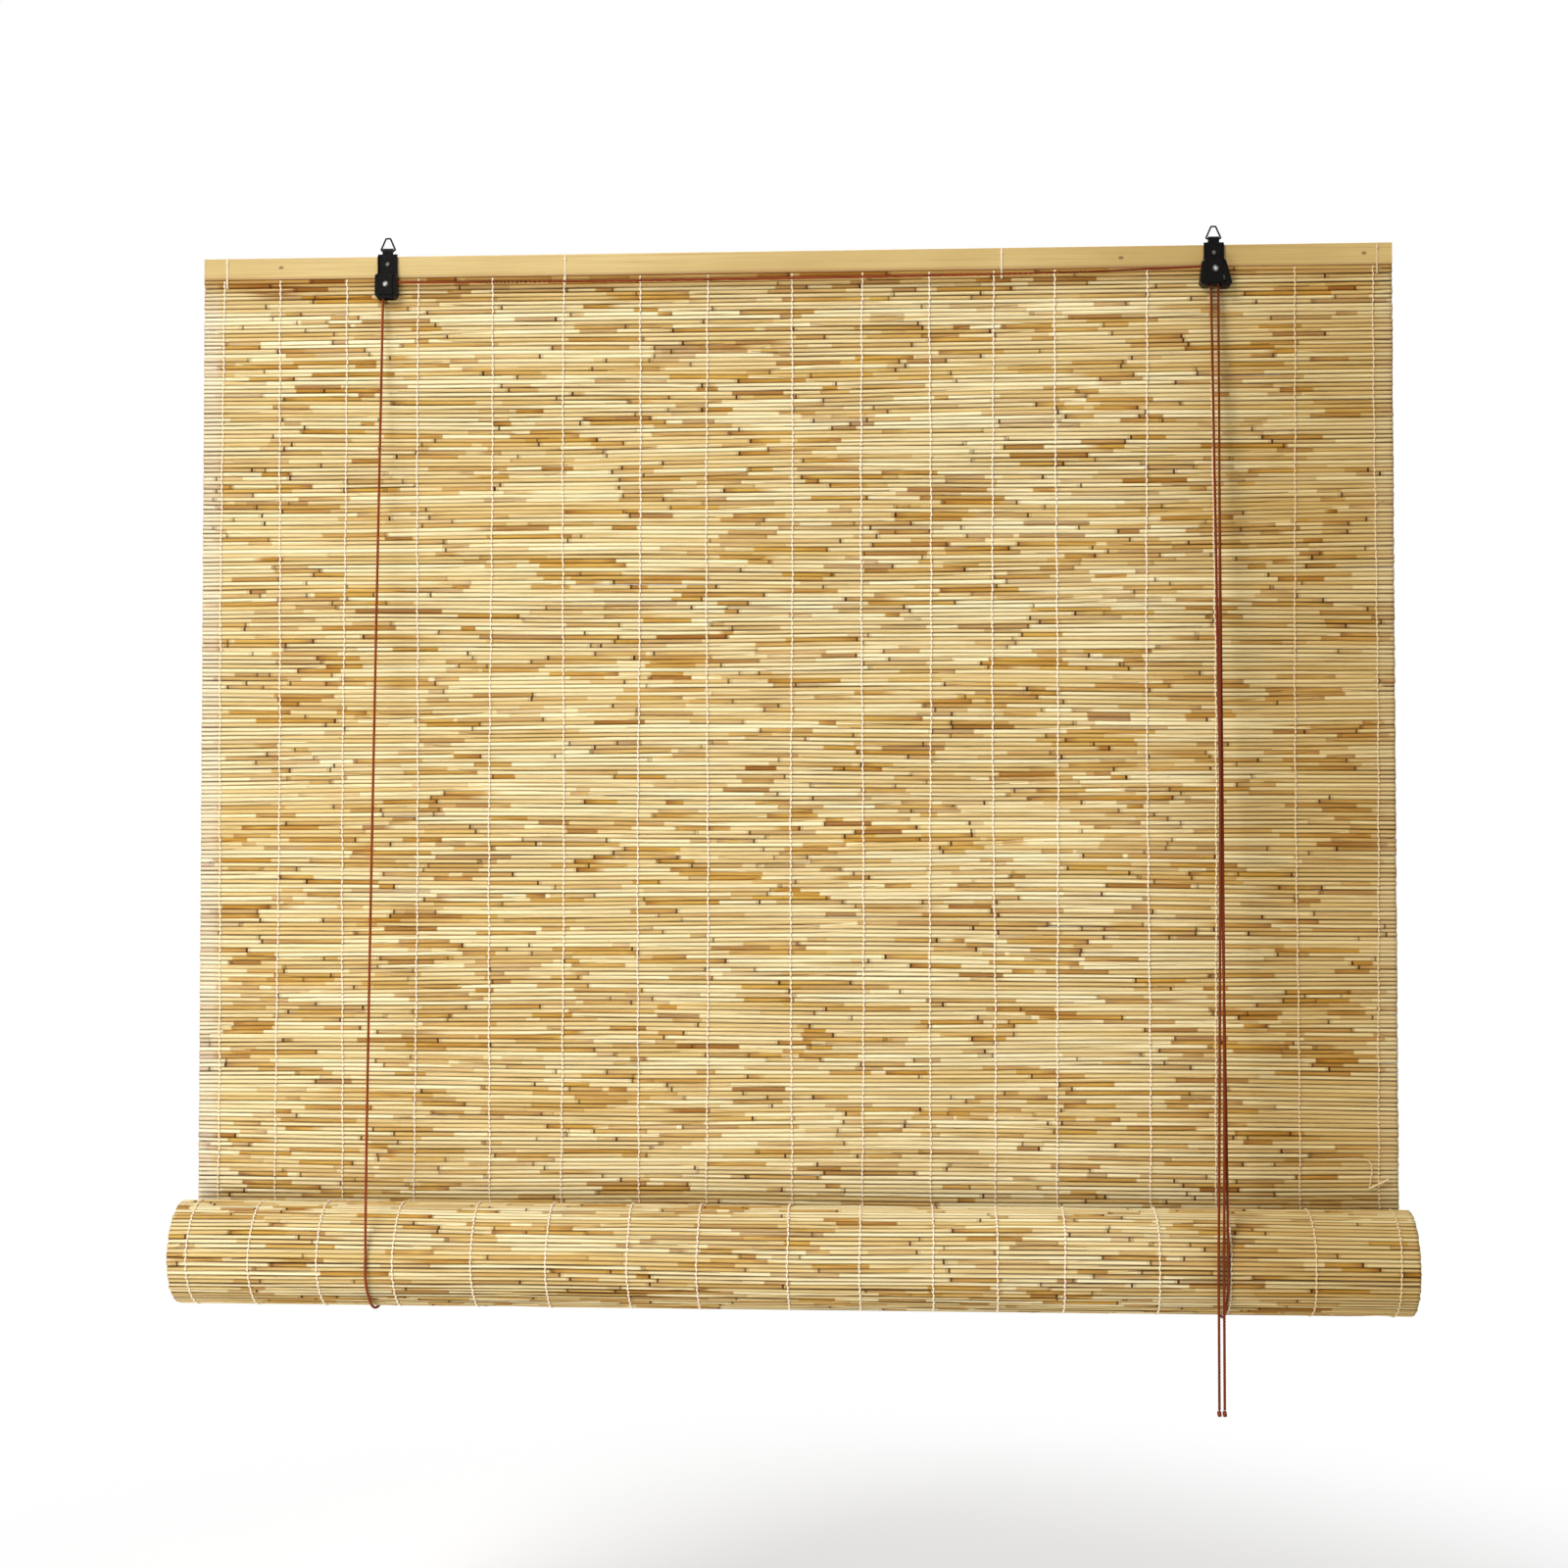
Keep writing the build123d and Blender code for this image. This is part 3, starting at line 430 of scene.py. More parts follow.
def thread_material():
    """Pale twisted cotton, with painted shade where it dips between reeds and towards the right.
    """
    s = Surface("thread", specular_ior_level=0.1)
    ply = s.math("SINE", s.math("MULTIPLY", s.value("run"), 2600.0))
    fuzz = s.noise(s.place(), 2400.0, 2.0)
    clean = s.mix(s.band(ply, -1.0, 1.0), srgb(242, 224, 192), srgb(255, 246, 224))
    colour = s.mix(s.band(fuzz, 0.45, 0.8, 0.0, 0.6), clean, srgb(222, 190, 158))
    # Painted shade where the thread dips between reeds
    colour = s.mix(s.band(s.value("dip"), 0.2, 1.0, 0.0, 0.75), colour, srgb(168, 122, 78))
    across = s.node("SeparateXYZ", {0: s.place()}).outputs[0]
    # Painted shade: darker towards the right, where the light falls off
    s.paint(s.mix(s.band(across, SHADE_FROM, SHADE_TO, 0.0, 0.9), colour, SHADE_TINT, "MULTIPLY"))
    s.roughen(s.band(fuzz, 0.3, 0.7, 0.7, 0.9))
    s.bump(s.math("ADD", s.math("MULTIPLY", ply, 0.5), fuzz), 0.00015, 0.6)
    return s.material


def cord_material():
    """Reddish brown twisted cord, with painted shade between its strands and towards the right.
    """
    s = Surface("cord", specular_ior_level=0.12)
    strand = s.value("crest")
    fibre = s.noise(s.stretched(s.place(), (2300.0, 2300.0, 700.0)), detail=2.0)
    blotch = s.noise(s.place(), 45.0, 2.0)
    # Painted shade in the grooves between the strands
    colour = s.mix(s.band(strand, 0.0, 1.0), srgb(84, 28, 8), srgb(154, 66, 25))
    colour = s.mix(s.band(fibre, 0.4, 0.75, 0.0, 0.35), colour, srgb(172, 92, 52))
    across = s.node("SeparateXYZ", {0: s.place()}).outputs[0]
    # Dark blotches, and painted shade towards the right, where the light falls off
    spots, side = s.band(blotch, 0.45, 0.7, 0.0, 0.35), s.band(across, 0.1, 0.38, 0.0, 0.5)
    s.paint(s.mix(s.math("MAXIMUM", spots, side), colour, srgb(84, 30, 18)))
    s.roughen(s.band(fibre, 0.3, 0.7, 0.55, 0.8))
    s.bump(fibre, 0.0002, 0.6)
    return s.material


def black_paint():
    """Gloss black paint with a fine orange peel and dusty, worn spots."""
    s = Surface("black_steel", specular_ior_level=0.09)
    peel = s.noise(s.place(), 1500.0, 2.0)
    wear = s.noise(s.place(), 420.0, 4.0, 0.7)
    colour = s.mix(s.band(wear, 0.62, 0.8, 0.0, 0.4), srgb(9, 7, 6), srgb(56, 46, 36))
    s.paint(colour)
    s.roughen(s.band(wear, 0.4, 0.75, 0.24, 0.5))
    s.bump(peel, 0.00004, 0.5)
    return s.material


def plated_metal(name, light, dark):
    """Plated steel, dull in places, with painted shade on the rim of each rivet's and screw's
    head.
    """
    s = Surface(name, metallic=1.0)
    dull = s.noise(s.place(), 700.0, 3.0)
    scratch = s.noise(s.stretched(s.place(), (500.0, 500.0, 5200.0)), detail=2.0)
    colour = s.mix(s.band(dull, 0.4, 0.6), light, dark)
    nearest = None
    for node in ROUND_HEADS:
        low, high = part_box(node)
        middle = ((low[0] + high[0]) / 2, 0.0, (low[2] + high[2]) / 2)
        far = s.distance(s.stretched(s.place(), (1.0, 0.0, 1.0)), middle)
        nearest = far if nearest is None else s.math("MINIMUM", nearest, far)
    # Painted shade on the heads' rims, so only their middles shine
    s.paint(s.mix(s.band(nearest, 0.0015, 0.0022, 0.0, 0.85), colour, srgb(52, 50, 46)))
    s.roughen(s.band(scratch, 0.3, 0.7, 0.2, 0.42))
    s.bump(scratch, 0.00003, 0.5)
    return s.material


def nylon(name, light, dark):
    """Moulded nylon, faintly cloudy."""
    s = Surface(name, specular_ior_level=0.45, subsurface_weight=0.1, subsurface_scale=0.001)
    cloud = s.noise(s.place(), 500.0, 3.0)
    s.paint(s.mix(s.band(cloud, 0.35, 0.65), light, dark))
    s.roughen(s.band(cloud, 0.3, 0.7, 0.36, 0.5))
    s.bump(cloud, 0.00004, 0.5)
    return s.material


# Reeds


# How a row strays down the mat, in millimetres, and the rows over which that sets in
SLOW_WAVER = 1.9
QUICK_WAVER = 0.4
STEADY_ROWS = 30

# Random draws: a group of rows shares its marks' rough places
ROW_SEED = 1000
GROUP_SEED = 500
GROUP_ROWS = 4

# Marks along a row: ranges in metres, jitter in millimetres and chances
FIRST_MARK = (0.02, 0.12)
MARK_SPACING = (0.04, 0.17)
LAST_MARK_ROOM = 0.03
MARK_ROOM = 12 * MM
MARK_JITTER = 34
MARK_CHANCE = 0.85
ALIKE_CHANCE = 0.3

# What a mark is like: chances, strengths and lengths in millimetres
CUT_CHANCE = 0.5
STAIN_LENGTH = (14, 90)
SHARP_CHANCE = 0.9
PLAIN_CHANCE = 0.15
GOLD = (0.4, 1.0)
BROWN_CHANCE = 0.14
BROWN = (0.5, 0.9)
FAINT_BROWN = (0.0, 0.25)
TAIL_CHANCE = 0.6
TAIL = (0.6, 1.0)
DARK_CHANCE = 0.8
DARK = (0.6, 1.0)
FAINT_DARK = 0.15
LAP_CHANCE = 0.8
LAP_LENGTH = (25, 80)
LAP_ROOM = 8 * MM

# One reed: its share of the usual radius, how it stands and tilts in millimetres, its
# bends, what it gives up where it laps and how ragged the row's ends are
THICKNESS = (0.97, 1.13)
STAND = 0.4
TILT = 0.27
BEND = 0.11 * MM
BENDS_PER_METRE = 17
LAP_THINNING = 0.49
LAP_SHIFT = 1.08 * MM
RAGGED = 0.35
INNER_RAGGED = 0.6

# Its colour and the depth of the painted shade on its sides, which is deeper on the roll
NOISE_SPAN = 400
TONE_POWER = 1.3
DEEP_GROOVE_CHANCE = 0.4
GROOVE = (0.5, 0.9)
ROLL_GROOVE = 1.3

# The painted shade at each eighth round its section, from its lower side past its front: full
# where it meets the reeds below and above, and more on its lower half, as light comes from above
EDGE_SHADE = (1.0, 0.72, 0.0, 0.24, 1.0, 0.24, 0.0, 0.72)

# The sides of its section, and where sections are set out along it
REED_SIDES = 8
INNER_SIDES = 6
MARK_REACH = 4 * MM
TAIL_REACH = 16 * MM
JOINT_HALF = 0.3 * MM
SHARP_STEP = 0.8 * MM
SHORTEST_STEP = 0.5 * MM
LONGEST_STEP = 0.16
END_SHRINK = 0.97
JOINT_SWELL = 1.06

# The bore of an open end, and the painted shade at its mouth, which deepens to full at its
# bottom
HOLLOW_SHARE = 0.55
HOLLOW_DEPTH = 2.5 * MM
MOUTH_SHADE = 0.35

REED_VALUES = ("gold", "brown", "gap", "dark", "edge", "tone", "seed", "hollow")


class Row:
    """Where one row of reeds lies: its middle, the way down the mat and its front."""

    def __init__(self, number, middle, down, front):
        self.number = number
        self.middle = middle
        self.down = down
        self.front = front

    def point(self, x, down, front):
        """A point at x, offset down the mat and towards its front."""
        y = self.middle[0] + self.down[0] * down + self.front[0] * front
        z = self.middle[1] + self.down[1] * down + self.front[1] * front
        return Vector((x, y, z))


def hanging_row(number):
    """A row of the hanging mat, counted from the headrail."""
    z = RAIL_BOTTOM - (number + 0.5) * REED_PITCH
    return Row(number, (MAT_Y, z), (0.0, -1.0), (-1.0, 0.0))


def rolled_rows(first_turn, last_turn):
    """The rows of the roll between two turns, from its outer end inwards."""
    rows, angle, number = [], 0.0, HANGING_ROWS
    while angle < last_turn * 2 * math.pi:
        radius = ROLL_RADIUS - SOLID_REED_RADIUS - TURN_SPACING * angle / (2 * math.pi)
        middle_angle = angle + REED_PITCH / radius / 2
        c, s = math.cos(middle_angle), math.sin(middle_angle)
        if angle >= first_turn * 2 * math.pi:
            middle = (ROLL_Y + radius * c, ROLL_Z - radius * s)
            rows.append(Row(number, middle, (-s, -c), (-c, s)))
        angle += REED_PITCH / radius
        number += 1
    return rows


def waver(x, number):
    """How far a row strays down the mat at x, much as its neighbours do."""
    slow = math.sin(5.1 * x + 0.043 * number + 0.6) * math.sin(0.071 * number + 2.2 * x)
    quick = math.sin(15.7 * x - 0.17 * number)
    return (SLOW_WAVER * slow + QUICK_WAVER * quick) * MM * smooth(number / STEADY_ROWS)


def either(rng, chance, drawn, otherwise):
    """A draw from a range in some share of the cases, and a fixed value in the rest."""
    return rng.uniform(*drawn) if rng.random() < chance else otherwise


class Mark:
    """A place on a row where a reed ends or has a joint, with its golden stretch."""

    def __init__(self, x, rng):
        self.x = x
        self.cut = rng.random() < CUT_CHANCE
        self.side = rng.choice((-1, 1))
        self.reach = rng.uniform(*STAIN_LENGTH) * MM
        self.sharp = rng.random() < SHARP_CHANCE
        self.gold = 0.0 if rng.random() < PLAIN_CHANCE else rng.uniform(*GOLD)
        self.brown = rng.uniform(*(BROWN if rng.random() < BROWN_CHANCE else FAINT_BROWN))
        self.tail = either(rng, TAIL_CHANCE, TAIL, 0.0)
        self.dark = either(rng, DARK_CHANCE, DARK, FAINT_DARK)
        room = HALF_WIDTH - abs(x) - LAP_ROOM
        lap = either(rng, LAP_CHANCE, LAP_LENGTH, 0.0) * MM
        self.lap = min(lap, room) if self.cut else 0.0
        self.lap_side = rng.choice((-1, 1))

    def gold_at(self, x):
        """The golden stain at x: on one side of the mark, up to a sharp or a soft end."""
        away = (x - self.x) * self.side
        if away < 0 or away > self.reach:
            return 0.0
        if self.sharp:
            return self.gold
        return self.gold * (1 - smooth(2.5 * away / self.reach - 1.5))

    def brown_at(self, x):
        """How brown the stain is at x: more so just beside the mark."""
        away = abs(x - self.x) / TAIL_REACH
        return max(self.brown, self.tail * (1 - away)) if away < 1 else self.brown

    def dark_at(self, x):
        """How dark the mark is near x: more so on its golden side."""
        return self.dark if (x - self.x) * self.side > 0 else 0.3 * self.dark


class Reed:
    """One reed between two ends of a row, thinner where it laps its neighbour."""

    def __init__(self, start, end, left, right, rng):
        self.left, self.right = left, right
        self.start = start - (left.lap if left else 0.0)
        self.end = end + (right.lap if right else 0.0)
        self.radii = (rng.uniform(*THICKNESS), rng.uniform(*THICKNESS))
        self.stand = rng.uniform(-STAND, STAND) * MM
        self.tilt = rng.uniform(-TILT, TILT) * MM
        self.phase = rng.uniform(0, 2 * math.pi)
        self.tone = rng.random() ** TONE_POWER
        self.seed = rng.uniform(0, NOISE_SPAN)
        self.groove = 1.0 if rng.random() < DEEP_GROOVE_CHANCE else rng.uniform(*GROOVE)

    def lap_share(self, x):
        """The share of the row it has given up, and which way it leans for that."""
        for mark, sign in ((self.left, 1), (self.right, -1)):
            if mark and mark.lap:
                share = smooth(0.5 - (x - mark.x) * sign / (2 * mark.lap))
                if share > 0:
                    return share, mark.lap_side * sign
        return 0.0, 0

    def section(self, x, number):
        """Its offset down the mat, its offset to the front and its radius at x."""
        t = (x - self.start) / (self.end - self.start)
        share, lean = self.lap_share(x)
        radius = REED_RADIUS * (self.radii[0] * (1 - t) + self.radii[1] * t)
        down = waver(x, number) + self.tilt * (2 * t - 1) * (1 - share)
        down += BEND * math.sin(BENDS_PER_METRE * x + self.phase) + lean * share * LAP_SHIFT
        return down, self.stand * (1 - share), radius * (1 - LAP_THINNING * share)


def row_marks(number, rng):
    """The marks along one row; neighbouring rows share some of theirs."""
    shared = random.Random(GROUP_SEED + number // GROUP_ROWS)
    marks, x = [], -HALF_WIDTH + shared.uniform(*FIRST_MARK)
    while x < HALF_WIDTH - LAST_MARK_ROOM:
        if rng.random() < MARK_CHANCE:
            jitter = rng.uniform(-MARK_JITTER, MARK_JITTER) * MM
            place = min(x + jitter, HALF_WIDTH - MARK_ROOM)
            make = random.Random(int(x * 1e5)) if rng.random() < ALIKE_CHANCE else rng
            marks.append(Mark(max(place, MARK_ROOM - HALF_WIDTH), make))
        x += shared.uniform(*MARK_SPACING)
    return marks


def row_reeds(marks, rng, ragged):
    """The reeds of one row, from cut to cut."""
    cuts = [mark for mark in marks if mark.cut]
    left_end = -HALF_WIDTH + rng.uniform(-ragged, ragged) * MM
    right_end = HALF_WIDTH + rng.uniform(-ragged, ragged) * MM
    reeds, start, left = [], left_end, None
    for mark in cuts + [None]:
        end = mark.x if mark else right_end
        reeds.append(Reed(start, end, left, mark, rng))
        start, left = end, mark
    return reeds


def places_near(mark):
    """Where a mark and its stain need a section."""
    fades = (mark.reach - SHARP_STEP, mark.reach + SHARP_STEP, TAIL_REACH)
    if not mark.sharp:
        fades = (mark.reach * 0.6, mark.reach * 0.8, mark.reach, TAIL_REACH)
    near = [mark.x + mark.side * away for away in fades] if mark.gold else []
    if mark.cut:
        near += [mark.x - SHARP_STEP, mark.x + SHARP_STEP]
    else:
        near += [mark.x + k for k in (-MARK_REACH, -JOINT_HALF, JOINT_HALF, MARK_REACH)]
    if mark.lap:
        near += [mark.x - mark.lap, mark.x + mark.lap]
    return near


def stations(reed, marks):
    """Where along a reed its section is set out."""
    places = {reed.start + MARK_REACH, reed.end - MARK_REACH}
    for mark in marks:
        places.update(places_near(mark))
    margin = MARK_REACH * 0.9
    inside = sorted(x for x in places if reed.start + margin < x < reed.end - margin)
    kept = [reed.start]
    for x in inside + [reed.end]:
        gap = x - kept[-1]
        if gap > LONGEST_STEP:
            kept.append(kept[-1] + gap / 2)
        if gap > SHORTEST_STEP or x == reed.end:
            kept.append(x)
    return kept


def nearest_mark(reed, x, joints):
    """How far the nearest joint or end of a reed is from x, and how dark it is."""
    ends = ((reed.start, reed.left), (reed.end, reed.right))
    found = [(abs(x - place), mark.dark_at(x) if mark else 0.0) for place, mark in ends]
    found += [(abs(x - mark.x), mark.dark_at(x)) for mark in joints]
    distance, dark = min(found)
    if distance > MARK_REACH * 1.01:
        return MARK_REACH, 0.0
    return distance, dark


def around_reed(row, x, down, front, radius, sides):
    """A ring of points round a reed's middle, from its lower side to its front."""
    ring = []
    for k in range(sides):
        angle = 2 * math.pi * k / sides
        offset = (down + radius * math.cos(angle), front + radius * math.sin(angle))
        ring.append(row.point(x, *offset))
    return ring


def edge_shades(row, reed, sides):
    """The painted shade at each point round a reed's section, deeper on the roll."""
    groove = reed.groove * (ROLL_GROOVE if row.number >= HANGING_ROWS else 1.0)
    return [EDGE_SHADE[k * len(EDGE_SHADE) // sides] * groove for k in range(sides)]


def add_reed(shape, row, reed, marks, sides):
    """Build one reed of a row, hollow where its end can be seen."""
    joints = [mark for mark in marks if not mark.cut]
    edges = edge_shades(row, reed, sides)
    rings = []
    for x in stations(reed, marks):
        down, front, radius = reed.section(x, row.number)
        distance, dark = nearest_mark(reed, x, joints)
        if x in (reed.start, reed.end):
            radius *= END_SHRINK
        elif distance < JOINT_HALF * 1.1:
            radius *= JOINT_SWELL
        stain = max(marks, key=lambda mark: mark.gold_at(x), default=None)
        values = {
            "gold": stain.gold_at(x) if stain else 0.0,
            "brown": stain.brown_at(x) if stain else 0.0,
            "gap": distance,
            "dark": dark,
            "edge": edges,
            "tone": reed.tone,
            "seed": reed.seed,
        }
        rings.append(shape.ring(around_reed(row, x, down, front, radius, sides), **values))
    for first, second in zip(rings, rings[1:]):
        shape.join(first, second, sides)
    for ring, mark, at_start in ((rings[0], reed.left, True), (rings[-1], reed.right, False)):
        if mark is None:
            hollow_end(shape, row, reed, ring, sides, at_start)
        else:
            shape.cap(ring, sides, at_start)


def hollow_end(shape, row, reed, rim, sides, at_start):
    """The open end of a reed: a flat rim round a bore with painted shade, deepest at its bottom.
    """
    x, inward = (reed.start, HOLLOW_DEPTH) if at_start else (reed.end, -HOLLOW_DEPTH)
    down, front, radius = reed.section(x, row.number)
    bore = radius * END_SHRINK * HOLLOW_SHARE
    last = rim
    for depth, dark in ((0.0, MOUTH_SHADE), (inward, 1.0)):
        ring = around_reed(row, x + depth, down, front, bore, sides)
        first = shape.ring(ring, tone=reed.tone, seed=reed.seed, gap=MARK_REACH, hollow=dark)
        if at_start:
            shape.join(first, last, sides)
        else:
            shape.join(last, first, sides)
        last = first
    shape.cap(last, sides, at_start)


def reed_mat(name, rows, material, inner=False):
    """Rows of reeds, each of its own random make; of inner rows only the ends show."""
    sides, ragged = (INNER_SIDES, INNER_RAGGED) if inner else (REED_SIDES, RAGGED)
    shape = Shape(*REED_VALUES)
    for row in rows:
        rng = random.Random(ROW_SEED + row.number)
        marks = [] if inner else row_marks(row.number, rng)
        for reed in row_reeds(marks, rng, ragged):
            add_reed(shape, row, reed, marks, sides)
    return shape.made(name, material)


# Threads


# How a stitch strays sideways, in millimetres
SLOW_SWAY = 1.1
QUICK_SWAY = 0.35

# The points of a stitch over one reed: sideways, down the mat and how deep it dips
FRONT_STITCH = (
    (-0.3 * MM, -0.8 * MM, 0.0),
    (-0.3 * MM, 0.8 * MM, 0.0),
    (0.3 * MM, REED_PITCH / 2, 1.1 * MM),
)
BACK_STITCH = ((0.0, 0.0, 0.0), (0.0, REED_PITCH / 2, 0.9 * MM))


def thread_sway(x, number):
    """How far a stitch thread strays sideways at a row."""
    slow, quick = math.sin(0.031 * number + 40 * x), math.sin(0.37 * number)
    return (SLOW_SWAY * slow + QUICK_SWAY * quick) * MM


def add_strand(shape, x, rows, face, radius, sides, stitch):
    """A stitch thread over the rows, which bulges over each reed and knows where it dips."""
    line, dips = [], []
    for row in rows:
        place = x + thread_sway(x, row.number)
        strayed = waver(place, row.number)
        zig = 1 if row.number % 2 else -1
        crest = (REED_RADIUS + radius * 0.5) * face
        for sideways, down, dip in stitch:
            line.append(row.point(place + sideways * zig, strayed + down, crest - dip * face))
            dips.append(1.0 if dip else 0.0)
    add_tube(shape, line, radius, sides, along={"dip": dips})


def stitches(name, rows, face, both, material, extra=None):
    """The stitch threads over some rows of the mat, on one face or on both."""
    shape = Shape("run", "dip")
    if extra:
        extra(shape)
    for place in THREAD_PLACES_MM:
        add_strand(shape, place * MM, rows, face, THREAD_RADIUS, 5, FRONT_STITCH)
        if both:
            add_strand(shape, place * MM, rows, -face, BACK_THREAD_RADIUS, 4, BACK_STITCH)
    return shape.made(name, material)


# Cords


def route_line(points, resolution):
    """The smooth line that a route's points steer, as Blender draws it."""
    curve = bpy.data.curves.new("route", "CURVE")
    curve.dimensions = "3D"
    spline = curve.splines.new("NURBS")
    spline.points.add(len(points) - 1)
    for point, place in zip(spline.points, points):
        point.co = (*place, 1.0)
    spline.order_u = 3
    spline.use_endpoint_u = True
    spline.resolution_u = resolution
    obj = new_object("route", curve)
    mesh = bpy.data.meshes.new_from_object(obj)
    line = [vertex.co.copy() for vertex in mesh.vertices]
    bpy.data.objects.remove(obj)
    bpy.data.curves.remove(curve)
    bpy.data.meshes.remove(mesh)
    return line


def rope(name, line, material):
    """A cord of twisted strands along a line, as one piece."""
    shape = Shape("run", "crest")
    sides = CORD_STRANDS * STRAND_SIDES
    add_tube(shape, line, CORD_RADIUS, sides, lobes=CORD_STRANDS, twist_pitch=STRAND_PITCH)
    crests = [0.5 + 0.5 * math.cos(2 * math.pi * k / STRAND_SIDES) for k in range(sides)]
    shape.values["crest"] = crests * (len(shape.points) // sides)
    return shape.made(name, material)


def knot(shape, centre, width, height, thread, **values):
    """A closed overhand knot of cord or thread round a centre."""
    steps = 48
    line = []
    for i in range(steps):
        t = 2 * math.pi * i / steps
        x = (math.sin(t) + 2 * math.sin(2 * t)) / 3
        y = (math.cos(t) - 2 * math.cos(2 * t)) / 3
        z = -math.sin(3 * t)
        reach, rise = width / 2 - thread, height / 2 - thread
        line.append(Vector(centre) + Vector((x * reach, y * reach, z * rise)))
    add_tube(shape, line, thread, 8, closed=True, **values)


# The points that steer the cords. They follow the CAD source's cords, and each front run
# bows forward so that it also passes the raised roll.
LEFT_FRONT_ROUTE = (
    (-0.4135, -0.0150, -0.0206),
    (-0.4050, -0.1100, -0.8800),
    (-0.4040, -0.1103, -0.9833),
)
RIGHT_FRONT_ROUTE = (
    (0.4205, -0.0142, -0.0169),
    (0.4196, -0.1090, -0.8900),
    (0.4195, -0.1103, -0.9833),
)
PULL_A_ROUTE = (
    (0.4275, -0.0142, -0.0330),
    (0.4200, -0.0890, -0.6500),
    (0.4162, -0.1125, -0.9000),
    (0.4155, -0.11075, -0.9891),
)
PULL_B_ROUTE = (
    (0.4275, -0.0188, -0.0330),
    (0.4204, -0.0715, -0.4700),
    (0.4115, -0.1120, -0.8850),
    (0.4105, -0.11075, -0.9891),
)
TRANSFER_ROUTE = (
    (-0.4135, -0.0150, -0.0206),
    (-0.4135, -0.0150, -0.0165),
    (-0.3985, -0.0150, -0.0168),
    (-0.2500, -0.0152, -0.0186),
    (0.2500, -0.0172, -0.0178),
    (0.3975, -0.0186, -0.0134),
    (0.4125, -0.0187, -0.0129),
    (0.4275, -0.0188, -0.0128),
    (0.4275, -0.0188, -0.0330),
)
LOCK_ROUTE = (
    (0.4205, -0.0142, -0.0169),
    (0.4205, -0.0142, -0.0128),
    (0.4275, -0.0142, -0.0128),
    (0.4275, -0.0142, -0.0330),
)
# A sling's route in (y, z) from the roll's middle, from its back round to its front
SLING_ROUTE = (
    (0.05355, 0.0),
    (0.05355, -0.0222),
    (0.0222, -0.05355),
    (-0.0222, -0.05355),
    (-0.05355, -0.0222),
    (-0.05355, 0.0),
    (-0.0532, 0.0058),
)
BACK_ROUTES = {
    "left": ((-0.4136, BACK_CORD_Y, -0.0110), (-0.4040, BACK_CORD_Y, -0.9891)),
    "right": ((0.4204, BACK_CORD_Y, -0.0110), (0.4195, BACK_CORD_Y, -0.9891)),
}

# Above this a front run keeps its place beside its wheel
FRONT_SPLIT_Z = -40 * MM

# The pull cords' measured runs above and below the roll's middle, and their end knots
PULL_END_Z = -1.1205
END_KNOT_Z = -1.124
END_KNOT_WIDTH = 4.6 * MM
END_KNOT_HEIGHT = 6 * MM
END_KNOT_STRAND = 0.95 * MM

# The lift cords' stopper knots on the headrail, and the stems that rise into them
RAIL_TOP = 11 * MM
ANCHOR_SIZE = 5 * MM
ANCHOR_STRAND = 1.1 * MM
STEM_RADIUS = CORD_RADIUS * 0.96
STEM_HEIGHTS_MM = range(-11, 14)

# How light the cord is in a knot and in a stem, which have no strands for the painted shade to
# fall between
KNOT_CREST = 0.8
STEM_CREST = 0.6


def rising(obj):
    """Carry a hanging run on the headrail's body, with a mesh of its own."""
    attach(obj, "headrail_assembly")
    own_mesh(obj)


def lift_cords(material):
    """The lift cords behind the mat, round the roll and in front of it."""
    routes = {"left": LEFT_FRONT_ROUTE, "right": RIGHT_FRONT_ROUTE}
    for side, route in routes.items():
        line = route_line(route, resolution=640)
        split = sum(1 for point in line if point.z > FRONT_SPLIT_Z)
        top = rope(f"{side}_lift_cord_top", line[: split + 1], material)
        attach(top, "headrail_assembly")
        run = rope(f"{side}_lift_cord_front", line[split:], material)
        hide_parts(f"{side}_cord_front")
        rising(run)
        back_line = route_line(BACK_ROUTES[side], resolution=640)
        back = rope(f"{side}_lift_cord_back", back_line, material)
        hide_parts(f"{side}_cord_back")
        rising(back)
        x = route[-1][0]
        sling_points = [(x, ROLL_Y + y, ROLL_Z + z) for y, z in SLING_ROUTE]
        sling_line = route_line(sling_points, resolution=32)
        sling = rope(f"{side}_lift_cord_sling", sling_line, material)
        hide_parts(f"{side}_cord_sling")
        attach(sling, "cord_slings")


def rail_cords(material):
    """The cords along the headrail and through the lock, and their stopper knots."""
    transfer_line = route_line(TRANSFER_ROUTE, resolution=48)
    transfer = rope("transfer_lift_cord", transfer_line, material)
    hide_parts("transfer_cord")
    lock = rope("lock_lift_cord", route_line(LOCK_ROUTE, resolution=12), material)
    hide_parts("lock_cord")
    pieces = [transfer, lock]
    for side, route in BACK_ROUTES.items():
        x, y, _ = route[0]
        shape = Shape("run", "crest")
        stem = [Vector((x, y, z * MM)) for z in STEM_HEIGHTS_MM]
        add_tube(shape, stem, STEM_RADIUS, 10, crest=STEM_CREST)
        middle = (x, y, RAIL_TOP + ANCHOR_SIZE / 2)
        knot(shape, middle, ANCHOR_SIZE, ANCHOR_SIZE, ANCHOR_STRAND, crest=KNOT_CREST)
        piece = shape.made(f"{side}_anchor_knot", material)
        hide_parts(f"{side}_cord_anchor")
        pieces.append(piece)
    for piece in pieces:
        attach(piece, "headrail_assembly")


